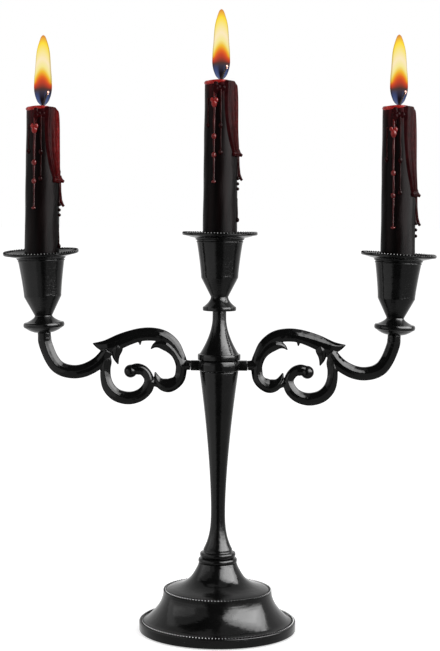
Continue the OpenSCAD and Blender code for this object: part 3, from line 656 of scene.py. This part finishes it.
def make_side_knop(name, side):
    """The saucer-shaped disc under a side cup."""
    rim_z = SIDE_KNOP_H * 0.3
    rim_t = SIDE_KNOP_H * 0.32
    turn_piece(name + "_saucer_knop", [
        (0, 0),
        *swell(STRAND_W / 2, SIDE_KNOP_R - rim_t / 3, 0, rim_z, 0.55, 20),
        *round_edge(SIDE_KNOP_R - rim_t / 3, rim_t / 3, rim_z, rim_z + rim_t)[1:],
        *settle(SIDE_KNOP_R - rim_t / 2, CUP_NECK_R, rim_z + rim_t, SIDE_KNOP_H, 1.7),
        (0, SIDE_KNOP_H),
    ], "arms", name + "_knop", place=seat_place(side))


# Cups and pans: heights above the cup's foot


def cup_wall_r(z):
    """Outer radius of a cup: a cone below, and a belly that widens to the mouth."""
    if z < CUP_CONE_H:
        return CUP_NECK_R + (CUP_BREAK_R - CUP_NECK_R) * z / CUP_CONE_H
    rise = (z - CUP_CONE_H) / (CUP_H - CUP_CONE_H)
    return CUP_BREAK_R + (CUP_MOUTH_R - CUP_BREAK_R) * rise ** 1.3


def make_cup(name, body, place):
    """A cup with its edge between cone and belly, its lip and its socket."""
    lip_z, belly_z = CUP_H - CUP_LIP_H, CUP_CONE_H + 0.4
    cone = [0, 1, 4, 8, CUP_CONE_H - 0.25]
    belly = [belly_z + (lip_z - belly_z) * share for share in shares(24)]
    turn_piece(name + "_candle_cup", [
        (0, 0),
        *((cup_wall_r(z), z) for z in cone),
        (CUP_BREAK_R, CUP_CONE_H + 0.1),
        *((cup_wall_r(z), z) for z in belly),
        *round_edge(cup_wall_r(lip_z) + 0.02, 0.4, lip_z + 0.1, lip_z + 1.2, 8),
        (cup_wall_r(CUP_H), CUP_H), (SOCKET_MOUTH_R, CUP_H), (SOCKET_FLOOR_R, SOCKET_FLOOR_Z), (0, SOCKET_FLOOR_Z),
    ], body, name + "_cup", place=place)


def askew(tilt):
    """A loose pan's rest in its cup, tipped towards the viewer by tilt degrees."""
    return at(0, 0, CUP_H) @ Matrix.Rotation(math.radians(tilt), 4, "X") @ at(0, 0, -CUP_H)


def make_pan(name, body, place):
    """A drip pan with its neck in the cup's mouth, and the beads on its rim."""
    floor_z = CUP_H + PAN_T * 1.5
    neck_z = CUP_H - PAN_H * 0.6
    rim_z = PAN_RIM_Z - 2.8 * PAN_BEAD_R
    rim_inner_r = PAN_R - 2 * PAN_BEAD_R
    lip_r = CUP_MOUTH_R + PAN_T / 2
    edge = PAN_BEAD_R / 3
    turn_piece(name + "_drip_pan", [
        (PAN_INNER_R, neck_z), (PAN_INNER_R + CUP_WALL, neck_z), (SOCKET_MOUTH_R - 0.1, CUP_H),
        (lip_r, CUP_H), (lip_r + 0.1, CUP_H + PAN_T / 4), (lip_r, CUP_H + PAN_T / 2),
        *swell(CUP_MOUTH_R + PAN_T, rim_inner_r, CUP_H + PAN_T, rim_z, 0.8),
        *quarter(PAN_R - PAN_BEAD_R, rim_z + PAN_BEAD_R, PAN_BEAD_R, -90, 6),
        (PAN_R, PAN_SEAT_Z - edge), (PAN_R - edge, PAN_SEAT_Z), (rim_inner_r, PAN_SEAT_Z),
        *reversed(swell(CUP_MOUTH_R, rim_inner_r, floor_z, PAN_SEAT_Z - PAN_BEAD_R / 4, 0.7)),
        (PAN_INNER_R, floor_z),
    ], body, name + "_pan", place=place, segments=168, closed=True)
    beads_r, node = PAN_R - PAN_BEAD_R, name + "_pan_beading"
    make_beading(name + "_pan_beads", body, beads_r, PAN_SEAT_Z, PAN_BEAD_R * 0.98, PAN_BEADS, node, place)


# Arms: each strand is (share of the reach, share of the rise, widths of the facets on the left and on the right
# of the ridge, as one goes along it, as shares of the strand's width)

STRANDS = {
    "cup": [
        (0.998, 0.86, 0.5, 0.5), (0.995, 0.7, 0.5, 0.5), (0.98, 0.43, 0.52, 0.48), (0.958, 0.17, 0.52, 0.48),
        (0.926, -0.05, 0.5, 0.51), (0.88, -0.17, 0.46, 0.55), (0.823, -0.205, 0.44, 0.57),
        (0.771, -0.155, 0.44, 0.57), (0.725, -0.035, 0.43, 0.57), (0.69, 0.105, 0.42, 0.57),
        (0.662, 0.28, 0.4, 0.55), (0.64, 0.45, 0.4, 0.45),
    ],
    "top_leaf": [
        (0.722, 0.67, 0.03, 0.05), (0.685, 0.645, 0.19, 0.4), (0.65, 0.66, 0.28, 0.66), (0.61, 0.714, 0.38, 0.74),
        (0.57, 0.778, 0.46, 0.68), (0.513, 0.873, 0.49, 0.58), (0.455, 0.95, 0.5, 0.51), (0.398, 0.98, 0.49, 0.51),
        (0.34, 0.945, 0.47, 0.49), (0.295, 0.83, 0.46, 0.38), (0.254, 0.62, 0.43, 0.3), (0.226, 0.365, 0.35, 0.23),
        (0.204, 0.127, 0.27, 0.15), (0.196, -0.05, 0.15, 0.12),
    ],
    "inner_leaf": [
        (0.39, 0.505, 0.04, 0.04), (0.369, 0.61, 0.19, 0.17), (0.34, 0.67, 0.3, 0.37), (0.306, 0.645, 0.38, 0.46),
        (0.274, 0.514, 0.38, 0.4), (0.247, 0.318, 0.4, 0.31), (0.224, 0.064, 0.52, 0.35),
        (0.216, -0.175, 0.42, 0.43), (0.226, -0.413, 0.43, 0.43), (0.249, -0.594, 0.39, 0.59),
        (0.286, -0.692, 0.4, 0.63), (0.323, -0.638, 0.38, 0.57), (0.35, -0.492, 0.27, 0.36),
        (0.365, -0.225, 0.05, 0.05),
    ],
    "low_scroll": [
        (0.65, 0.333, 0.38, 0.3), (0.653, 0.111, 0.53, 0.23), (0.655, -0.143, 0.48, 0.3), (0.647, -0.43, 0.42, 0.4),
        (0.626, -0.7, 0.4, 0.51), (0.587, -0.915, 0.4, 0.54), (0.536, -1.02, 0.43, 0.53), (0.487, -1.01, 0.42, 0.52),
        (0.441, -0.89, 0.4, 0.52), (0.407, -0.683, 0.41, 0.48), (0.393, -0.46, 0.46, 0.3),
        (0.404, -0.254, 0.52, 0.23), (0.43, -0.105, 0.56, 0.22), (0.467, -0.06, 0.6, 0.26),
        (0.501, -0.127, 0.5, 0.3),
    ],
    "lobe": [
        (0.57, 0.714, 0.3, 0.3), (0.584, 0.524, 0.46, 0.46), (0.591, 0.333, 0.38, 0.3), (0.587, 0.175, 0.23, 0.19),
        (0.576, 0.012, 0.04, 0.04),
    ],
    "leaflet": [(0.473, 0.905, 0.23, 0.23), (0.455, 0.778, 0.17, 0.17), (0.452, 0.626, 0.04, 0.04)],
    "web": [(0.4, -0.5, 0.3, 0.3), (0.37, -0.56, 0.26, 0.26), (0.34, -0.6, 0.3, 0.3)],
    "link": [(0.222, 0.02, 0.4, 0.4), (0.192, 0.01, 0.37, 0.37), (0.163, 0, 0.36, 0.36)],
}
CURL = (0.505, -0.2, 0.5)
FACET_CROWN = 0.32


def section(near, far):
    """Corners of a strand's section, (across, depth): crowned facets to a ridge, and blunt sides."""
    size = near + far
    side = EDGE_DEPTH / 2 * min(1, 0.4 + 0.6 * size)
    ridge = RIDGE_DEPTH / 2 * min(1, 0.35 + 0.65 * size)
    near, far = near * STRAND_W, far * STRAND_W
    crown = (side + ridge) / 2 + FACET_CROWN * min(1, size)
    front = [(near, side), (near / 2, crown), (0, ridge), (-far / 2, crown), (-far, side)]
    return front + [(across, -depth) for across, depth in front[::-1]]


def close_tube(mesh, rings):
    """Skins a tube of rings, with a face at either end."""
    skin(mesh, rings)
    mesh.faces.new(rings[0][::-1])
    mesh.faces.new(rings[-1])


def add_strand(mesh, points):
    """Sweeps the section in the plane of the arms along a smooth curve."""
    path = curve([(a * ARM_REACH, b * ARM_RISE, near, far) for a, b, near, far in points], 6)
    rings = []
    for i, (x, z, near, far) in enumerate(path):
        before, after = path[max(i - 1, 0)], path[min(i + 1, len(path) - 1)]
        run = Vector((after[0] - before[0], after[1] - before[1])).normalized()
        across = Vector((run.y, -run.x))
        rings.append([
            mesh.verts.new(((x + across.x * a) * MM, depth * MM, (z + across.y * a) * MM))
            for a, depth in section(max(near, 0.02), max(far, 0.02))
        ])
    close_tube(mesh, rings)


def melt_together(piece, voxel, smooth_steps):
    """Joins a piece's overlapping bodies into one skin with softened edges."""
    remesh = piece.modifiers.new("join", "REMESH")
    remesh.mode = "VOXEL"
    remesh.voxel_size = voxel * MM
    remesh.use_smooth_shade = True
    soften = piece.modifiers.new("soften", "SMOOTH")
    soften.factor = 0.5
    soften.iterations = smooth_steps
    graph = bpy.context.evaluated_depsgraph_get()
    data = bpy.data.meshes.new_from_object(piece.evaluated_get(graph))
    old = piece.data
    data.materials.clear()
    for material in old.materials:
        data.materials.append(material)
    piece.modifiers.clear()
    piece.data = data
    bpy.data.meshes.remove(old)


def make_arm(name, side):
    """A scroll arm: its strands, the ball of its curl and the boss under the cup, cast as one."""
    mesh = bmesh.new()
    for points in STRANDS.values():
        add_strand(mesh, points)
    ball = at(CURL[0] * ARM_REACH, 0, CURL[1] * ARM_RISE)
    bmesh.ops.create_icosphere(mesh, subdivisions=4, radius=CURL[2] * STRAND_W * MM, matrix=ball)
    boss_h, boss_r = STRAND_W * 0.55, STRAND_W / 2 * MM
    boss = at(ARM_REACH, 0, ARM_RISE) @ Matrix.Rotation(math.radians(CUP_LEAN), 4, "Y") @ at(0, 0, -boss_h / 2)
    bmesh.ops.create_cone(
        mesh, cap_ends=True, segments=48, radius1=boss_r, radius2=boss_r, depth=boss_h * MM, matrix=boss,
    )
    mesh.transform(at(0, 0, HUB_MID_Z) @ Matrix.Scale(side, 4, (1, 0, 0)))
    if side < 0:
        bmesh.ops.reverse_faces(mesh, faces=mesh.faces)
    piece = finish_mesh(name + "_scroll_arm", mesh, CAST)
    melt_together(piece, 0.27, 3)
    dress(piece, "arms", "enamel", "arm_" + name)


def make_hub():
    """The hub ring with its two lugs."""
    mesh = bmesh.new()
    edge = round_edge(FLANGE_R - HUB_H / 10, HUB_H / 10, HUB_Z + 0.4, HUB_Z + HUB_H - 0.4)
    revolve(mesh, [(0, HUB_Z), *edge, (0, HUB_Z + HUB_H)])
    size = Matrix.Diagonal((LUG_REACH * MM, LUG_SIZE * MM, LUG_SIZE * MM, 1))
    for side in SIDES.values():
        made = bmesh.ops.create_cube(mesh, size=1.0, matrix=at(side * LUG_REACH / 2, 0, HUB_MID_Z) @ size)
        edges = list({edge for vert in made["verts"] for edge in vert.link_edges})
        bmesh.ops.bevel(mesh, geom=edges, offset=0.7 * MM, segments=3, profile=0.5, affect="EDGES")
    dress(finish_mesh("hub_ring", mesh, CAST), "arms", "enamel", "arm_hub")


# Candles: each piece is built about the middle of the candle's top

# Wax runs: (degrees round from the front, depths of both ends as shares of the reach, thicknesses of both ends as
# shares of a run's radius)
RUNS = [
    (-23, 0.04, 0.716, 0.8, 0.5), (-50, 0.125, 0.317, 0.5, 0.45), (0, 0.06, 0.51, 0.55, 0.45),
    (85, 0.45, 0.69, 1.0, 0.75), (80, 0.83, 0.99, 0.45, 0.6),
]
# Drops on the runs: (degrees round from the front, depth as a share of the reach, radius share, stretch)
DROPS = [
    (-31, 0.139, 1.1, 1.2), (-16, 0.141, 1.15, 1.2), (-23, 0.163, 1.6, 1.5), (-23, 0.396, 1.35, 1.2),
    (-23, 0.527, 1.3, 1.1), (-25, 0.716, 0.95, 0.8), (-21, 0.716, 0.95, 0.8), (-50, 0.317, 1.05, 1.3),
    (0, 0.32, 1.15, 1.3), (0, 0.51, 1.15, 1.2), (85, 0.69, 1.2, 0.9), (84, 0.729, 0.95, 1.0), (84, 0.765, 0.95, 1.0),
    (80, 0.985, 1.0, 1.3),
]
SHEET_REACH = 0.52
SHEET_TOP_DEGREES = (12, 98)
SHEET_HEM_DEGREES = (46, 86)
# Drops on the sheet's hem, as above, with the depth as a share of the sheet's
HEM_DROPS = [(50, 1.0, 1.2, 1.1), (58, 0.995, 1.5, 0.9), (68, 1.0, 1.55, 1.0), (78, 1.0, 1.4, 0.9)]
# Drips from the hem that hook outward: (degrees, depth, millimetres proud of the coat, radius share)
HEM_DRIPS = [
    [(84, 0.94, 0.2, 1.2), (86, 0.985, 1.0, 1.1), (87, 1.01, 2.3, 0.95), (87, 1.02, 3.3, 0.8)],
    [(86, 1.0, 0.2, 0.95), (87, 1.15, 0.5, 0.85), (87, 1.27, 1.1, 0.85), (88, 1.33, 2.2, 0.8), (88, 1.355, 3.1, 0.75)],
]
# The big drop under the lip: balls as (degrees, depth as a share of the reach, proud, radius share, stretch), and
# a drip with its depths in millimetres
BIG_BALLS = [(-18, 0.062, -0.4, 2.0, 1.05), (-9, 0.05, -0.5, 1.5, 1.0), (8, 0.055, -0.6, 1.5, 1.2)]
BIG_DRIP = [(-18, depth, -0.3, share) for depth, share in ((1, 1.1), (3, 1.4), (6, 1.2), (9, 0.8), (12.5, 0.6))]
# The wick's bend from the middle of the candle's top: its end curls out of the flame's side
WICK_BEND = [
    (0, 0, -2 * POOL_DEPTH), (0, -0.4, -1), (0.2, -1.7, 0.9), (0.9, -2.9, 3), (1.9, -3.9, 5.6), (3.1, -4.4, 8.2),
    (3.8, -4.3, WICK_OUT_L + 0.6),
]


def dress_candle(name, part, mesh, material, place, *nodes, slot="wax_red", melt=None):
    """Finishes and dresses a candle's piece; melt is the voxel and the smoothing steps that make one skin of it."""
    piece = finish_mesh(name + part, mesh, material, place)
    if melt:
        melt_together(piece, *melt)
    dress(piece, name + "_candle", slot, *nodes)


def coat_r(depth, length):
    """Radius of the coat at a depth below its top."""
    return CANDLE_TOP_R + (CANDLE_FOOT_R - CANDLE_TOP_R) * min(1, max(0, depth) / (length - CANDLE_BUTT_L))


def coat_point(degrees, depth, length, proud):
    """A point on the coat, in metres, degrees round from the front."""
    turn = math.radians(degrees - 90)
    r = coat_r(depth, length) + proud
    return Vector((r * math.cos(turn), r * math.sin(turn), -depth)) * MM


def shoulder_dip(x, y):
    """How far the melted right shoulder sinks below the candle's top, by direction."""
    facing = x / max(math.hypot(x, y), 1e-9)
    return SHOULDER_SINK * max(0.0, facing) ** 9


def add_tube(mesh, path):
    """A closed tube through (point, radius) pairs, in metres."""
    rings = []
    for i, (point, radius) in enumerate(path):
        before, after = path[max(i - 1, 0)][0], path[min(i + 1, len(path) - 1)][0]
        run = (after - before).normalized()
        first = run.cross(Vector((0, 1, 0.01))).normalized()
        second = run.cross(first)
        rings.append([
            mesh.verts.new(point + radius * (math.cos(t) * first + math.sin(t) * second)) for t in turns(TUBE_SIDES)
        ])
    close_tube(mesh, rings)


def add_ball(mesh, point, radius, stretch):
    """A ball of a radius in millimetres about a point in metres, stretched in height."""
    spot = Matrix.Translation(point) @ Matrix.Diagonal((1, 1, stretch, 1))
    bmesh.ops.create_icosphere(mesh, subdivisions=3, radius=radius * MM, matrix=spot)


def add_drip(mesh, spots, length, reach=1):
    """A drip down the coat through (degrees, depth, proud, radius share) spots, with depths as shares of reach."""
    add_tube(mesh, [
        (coat_point(degrees, depth * reach, length, proud), RUN_R * share * MM)
        for degrees, depth, proud, share in spots
    ])


def make_coat(name, length, place):
    """The black coat: a tapering tube with a soft lip, small dents, and a right shoulder that has melted down."""
    mesh = bmesh.new()
    bare = length - CANDLE_BUTT_L
    depths = [bare + (COAT_LIP - bare) * share for share in shares(70)]
    revolve(mesh, [
        (CORE_R, -length), (CANDLE_BUTT_R, -length),
        *((coat_r(depth, length) - 0.05, -depth) for depth in depths),
        (CANDLE_TOP_R - COAT_LIP * 0.25, -COAT_LIP * 0.35), (CANDLE_TOP_R - COAT_LIP, -0.02),
        (CORE_R + 0.5, -0.05), (CORE_R, -0.5),
    ], segments=120, closed=True)
    for vert in mesh.verts:
        x, y, z = (part / MM for part in vert.co)
        turn = math.atan2(y, x)
        sink = shoulder_dip(x, y) * math.exp(z / SHOULDER_FADE)
        pull = 1.0 - COAT_PULL * sink / FULL_SINK * math.exp(z / 3.0)
        dent = 0.06 * math.sin(3 * turn + z * 0.11) + 0.05 * math.sin(7 * turn - z * 0.23)
        scale = pull * (1.0 - (0.06 + dent) / max(math.hypot(x, y), 1e-9))
        vert.co = Vector((x * scale, y * scale, z - sink)) * MM
    dress_candle(name, "_black_coat", mesh, BLACK_WAX, place, name + "_candle_coat", slot="wax_black")


def make_core(name, length, place):
    """The red core, with the pool of melted wax round the wick."""
    turn_piece(name + "_red_core", [
        (0, -length), (CORE_R - 0.02, -length), (CORE_R - 0.02, -POOL_DEPTH * 1.3),
        *((CORE_R * (0.97 - 0.27 * t), -POOL_DEPTH * (1.3 + 0.5 * t)) for t in (0.25, 0.5, 0.75, 1)),
        (WICK_R * 2, -POOL_DEPTH * 1.8), (WICK_R * 1.2, -POOL_DEPTH * 1.5), (0, -POOL_DEPTH * 1.4),
    ], name + "_candle", name + "_candle_core", material=RED_WAX, slot="wax_red", place=place, segments=96)


def make_wax_runs(name, length, place):
    """The runs and drops that end above the pan; the drops of the first run are of redder wax, with more of the
    painted flame light.
    """
    trails, drops = bmesh.new(), bmesh.new()
    reach, lowest = REACHES[name], length - CANDLE_BUTT_L - 2
    for k, (degrees, top, bottom, thick_top, thick_bottom) in enumerate(RUNS):
        if bottom * reach > lowest:
            continue
        path = []
        for t in shares(36):
            depth = reach * (top + (bottom - top) * t)
            wander = 0.8 * math.sin(depth * 0.13 + k * 1.7) + 0.5 * math.sin(depth * 0.41 + k)
            radius = RUN_R * (thick_top + (thick_bottom - thick_top) * t) * (1 + 0.1 * math.sin(depth * 0.5 + 2 * k))
            point = coat_point(degrees + wander * math.sin(math.pi * t), max(depth, 0.6), length, -0.15)
            path.append((point, radius * MM))
        add_tube(trails, path)
    for degrees, depth, share, stretch in DROPS:
        into = drops if abs(degrees - RUNS[0][0]) < 9 else trails
        if depth * reach < lowest:
            add_ball(into, coat_point(degrees, depth * reach, length, 0.15), RUN_R * share, stretch)
    dress_candle(name, "_wax_trails", trails, TRAIL_WAX, place, name + "_wax_runs", melt=(0.24, 4))
    dress_candle(name, "_wax_drops", drops, RED_WAX, place, melt=(0.22, 3))


def sheet_point(length, hem, down, across, behind):
    """A point of the sheet of wax, or of its back in the coat, by its shares down and across."""
    start, stop = (top + (low - top) * down ** 3 for top, low in zip(SHEET_TOP_DEGREES, SHEET_HEM_DEGREES))
    flute = 0.5 - 0.5 * math.cos(2 * math.pi * SHEET_FLUTES * across + 1.2 * math.sin(3 * down))
    ripple = 0.12 * math.sin(9 * down + 7 * across)
    rim = min(1.0, 6 * across, 6 * (1 - across))
    proud = -0.5 if behind else RUN_R * (0.2 + rim * (0.75 * flute + 0.2 + ripple) * (0.55 + 0.6 * down))
    point = coat_point(start + (stop - start) * across, down * hem, length, proud)
    dip = shoulder_dip(point.x, point.y) * math.exp(-down * hem / SHOULDER_FADE)
    pull = 1.0 - SHEET_PULL * dip / FULL_SINK
    return Vector((point.x * pull, point.y * pull, point.z - (dip + 0.15) * MM))


def make_wax_sheet(name, length, place):
    """The fluted sheet that has run over the right shoulder, with the drops and drips at its hem."""
    mesh = bmesh.new()
    hem = SHEET_REACH * REACHES[name]
    front, back = [
        [
            [mesh.verts.new(sheet_point(length, hem, down, across, behind)) for across in shares(60)]
            for down in shares(44)
        ]
        for behind in (False, True)
    ]
    sides = [[[row[j] for row in grid] for grid in (front, back)] for j in (0, -1)]
    for rows in (front, back, [front[0], back[0]], [front[-1], back[-1]], *sides):
        skin(mesh, rows, ring=False)
    for degrees, depth, share, stretch in HEM_DROPS:
        add_ball(mesh, coat_point(degrees, depth * hem, length, 0.3), RUN_R * share, stretch)
    for spots in HEM_DRIPS:
        add_drip(mesh, spots, length, hem)
    dress_candle(name, "_wax_curtain", mesh, DARK_WAXES[name], place, melt=(0.25, 4))


def make_melt_lip(name, length, place):
    """The red wax that brims over the front of the rim, painted bright with the flame's light."""
    mesh = bmesh.new()
    spots = []
    for t in shares(30):
        depth = 1.5 - 1.0 * t + 0.2 * math.sin(6 * t)
        thick = (0.4 + 0.95 * math.sin(math.pi * min(1, 0.12 + 0.8 * t)) ** 0.8) * (1.0 - 0.35 * t)
        spots.append((-84 + 112 * t, depth, -0.35 - 0.8 * thick * 0.3, thick))
    add_drip(mesh, spots, length)
    dress_candle(name, "_melt_lip", mesh, RED_WAX, place, melt=(0.22, 3))


def make_big_drop(name, length, place):
    """The big dark drop that hangs under the lip."""
    mesh = bmesh.new()
    for degrees, depth, proud, share, stretch in BIG_BALLS:
        add_ball(mesh, coat_point(degrees, depth * REACHES[name], length, proud), RUN_R * share, stretch)
    add_drip(mesh, BIG_DRIP, length)
    dress_candle(name, "_big_drop", mesh, DARK_WAXES[name], place, melt=(0.24, 5))


def make_wick(name, place):
    """The burnt wick and the ember at its end."""
    mesh, ash = bmesh.new(), bmesh.new()
    bend = curve(WICK_BEND, 4)
    path = [(Vector(point) * MM, WICK_R * (1.0 - 0.25 * i / len(bend)) * MM) for i, point in enumerate(bend)]
    add_tube(mesh, path)
    dress_candle(name, "_charred_wick", mesh, WICK, place, name + "_wick", slot="wick")
    add_ball(ash, path[-1][0] + Vector((0.1, -0.2, 0)) * MM, WICK_R * 0.72, 1.2)
    add_ball(ash, path[-4][0] + Vector((0.55, -0.3, -0.4)) * MM, WICK_R * 0.36, 1.0)
    dress_candle(name, "_wick_ember", ash, EMBER, place, slot="wick")


def make_flame(name, place):
    """The flame's shell, a hair inside the CAD's."""
    shell = [(max(r, 0) * FLAME_R * 0.995, FLAME_FOOT_Z + FLAME_H * z) for r, z in curve(FLAME_SHARES, 6)]
    turn_piece(
        name + "_burning_gas", [(0, shell[0][1]), *shell[:-1], (0, shell[-1][1])],
        name + "_candle", name + "_flame", material=FLAME_GAS, slot="flame", place=place, segments=72,
    )


def make_candle(name, length):
    """A candle with its wax, wick and flame, about the middle of its top."""
    low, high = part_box(name + "_candle_coat")
    place = Matrix.Translation(((low.x + high.x) / 2, (low.y + high.y) / 2, high.z))
    for make in (make_coat, make_core, make_wax_runs, make_wax_sheet, make_melt_lip, make_big_drop):
        make(name, length, place)
    make_wick(name, place)
    make_flame(name, place)


# Assembly

make_foot()
make_collar()
make_stem()
make_riser()
make_centre_knop()
make_hub()
centre_cup_place = at(0, 0, CENTRE_KNOP_Z + CENTRE_KNOP_H)
make_cup("centre", "column", centre_cup_place)
make_pan("centre", "column", centre_cup_place)
for side_name, side_sign in SIDES.items():
    cup_place = seat_place(side_sign) @ at(0, 0, SIDE_KNOP_H)
    make_side_knop(side_name, side_sign)
    make_cup(side_name, "arms", cup_place)
    make_pan(side_name, "arms", cup_place @ askew(PAN_TILTS[side_name]))
    make_arm(side_name, side_sign)
for candle_name, candle_length in CANDLE_LENGTHS.items():
    make_candle(candle_name, candle_length)

KEPT = {
    "felt_pad": FELT, "base_plate": STEEL, "base_bolt": STEEL, "base_washer": STEEL, "hub_stud": STEEL,
    "centre_cup_screw": STEEL, "side_cup_screws": STEEL,
}
for node_name, material in KEPT.items():
    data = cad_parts[node_name].data
    data.materials.clear()
    data.materials.append(material)

# Floor, world, lamps and camera, in metres

# The black flag's rows on the floor, by their y, and above it, by (degrees up, degrees round at left and at right)
FLAG_FLOOR_ROWS = (-0.16, -0.7, -1.2)
FLAG_ROWS = [
    (2, -21, 9), (10, -60, 14), (18, -95, 15), (34, -100, 15), (50, -100, 15), (62, -90, 14), (70, -21, 9),
    (82, -21, 9),
]
FLAG_R = 1.3
FLAG_MIDDLE_Z = 0.15


def make_floor():
    """A pale matt floor, which the camera sees a little lighter and the gloss sees as plain white."""
    bpy.ops.mesh.primitive_plane_add(size=40.0, location=(0, 0, -0.0002))
    floor = bpy.context.object
    floor.name = "studio_floor"
    n = Nodes("pale_floor")
    rays = n.add("LightPath").outputs
    mirrored = n.math("MAXIMUM", rays["Is Glossy Ray"], rays["Is Transmission Ray"])
    lift = n.add("Emission", {"Strength": n.math("MULTIPLY", rays["Is Camera Ray"], 0.55)}).outputs[0]
    lifted = n.add("AddShader", {0: n.shader.outputs[0], 1: lift}).outputs[0]
    white = n.add("Emission").outputs[0]
    mix = n.add("MixShader", {0: mirrored, 1: lifted, 2: white}).outputs[0]
    n.put(mix, n.tree.nodes["Material Output"].inputs["Surface"])
    floor.data.materials.append(n.shade(Base_Color=(0.9, 0.9, 0.9, 1), Roughness=0.9, Specular_IOR_Level=0.0))


def make_world():
    """A white world, dimmer where it only lights things than where it is seen."""
    n = Nodes("studio", world=True)
    rays = n.add("LightPath").outputs
    mirrored = n.math("MAXIMUM", rays["Is Glossy Ray"], rays["Is Transmission Ray"])
    seen = n.math("MAXIMUM", rays["Is Camera Ray"], mirrored)
    bpy.context.scene.world = n.shade(Color=(1, 1, 1, 1), Strength=n.span(seen, 0.6, 1.0))


def softbox(name, place, aim_z, size, power, glossy):
    """A rectangular lamp, aimed at a height on the axis. It shows only in the gloss, or only lights the matt side."""
    lamp = bpy.data.lights.new(name, "AREA")
    lamp.shape = "RECTANGLE"
    lamp.size, lamp.size_y = size
    lamp.energy = power
    thing = show(name, lamp)
    thing.visible_diffuse = not glossy
    thing.visible_glossy = glossy
    thing.visible_camera = False
    thing.location = place
    thing.rotation_euler = (Vector((0, 0, aim_z)) - Vector(place)).to_track_quat("-Z", "Y").to_euler()


def black_flag():
    """Black cloth from the floor before the camera up and to the left, which only the gloss shows."""
    mesh = bmesh.new()
    across = shares(10)
    rows = [[mesh.verts.new(((0.55 - 0.91 * share) * y, y, 0.001)) for share in across] for y in FLAG_FLOOR_ROWS]
    for lift, left, right in FLAG_ROWS:
        level = FLAG_R * math.cos(math.radians(lift))
        z = FLAG_MIDDLE_Z + FLAG_R * math.sin(math.radians(lift))
        angles = [math.radians(left + (right - left) * share) for share in across]
        rows.append([mesh.verts.new((level * math.sin(turn), -level * math.cos(turn), z)) for turn in angles])
    skin(mesh, rows, ring=False)
    n = Nodes("flag_cloth")
    cloth = n.shade(Base_Color=(0, 0, 0, 1), Roughness=1.0, Specular_IOR_Level=0.0)
    card = finish_mesh("black_flag", mesh, cloth)
    card.visible_camera = False
    card.visible_diffuse = False
    card.visible_shadow = False


make_floor()
make_world()
# The panels show only in the gloss, and the lamps only light the matt side of things
softbox("right_panel", (0.978, -0.467, 0.77), 0.04, (2.13, 1.4), 137, True)
softbox("right_panel_middle", (0.94, -0.49, 0.76), 0.04, (1.6, 1.0), 40, True)
softbox("right_panel_core", (0.94, -0.44, 0.75), 0.04, (1.0, 0.7), 22, True)
softbox("left_panel", (-0.19, -0.085, 0.14), 0.14, (0.42, 0.25), 0.34, True)
softbox("left_candle_panel", (-0.85, -0.25, 0.42), 0.33, (0.9, 0.45), 2.4, True)
softbox("right_lamp", (0.75, -1.0, 0.85), 0.2, (0.35, 0.5), 6, False)
softbox("left_lamp", (-0.8, -0.9, 0.8), 0.2, (0.4, 0.5), 2.5, False)
black_flag()

# Camera at the photograph's place, whose horizon lies above the middle of the picture, in its pixels

CAMERA_PLACE = (-0.0001, -1.105, 0.2817)
CAMERA_ROLL = 0.4
HORIZON_ABOVE_MIDDLE = 118.3
FOCAL_PIXELS = 1657
PICTURE_H = 651
camera_data = bpy.data.cameras.new("camera")
camera_data.sensor_width = 36
camera_data.lens = camera_data.sensor_width * FOCAL_PIXELS / PICTURE_H
camera_data.shift_y = -HORIZON_ABOVE_MIDDLE / PICTURE_H
camera = show("camera", camera_data)
camera.location = CAMERA_PLACE
camera.rotation_euler = (math.radians(90), math.radians(-CAMERA_ROLL), 0)
bpy.context.scene.camera = camera

bpy.context.scene.view_settings.view_transform = "Standard"
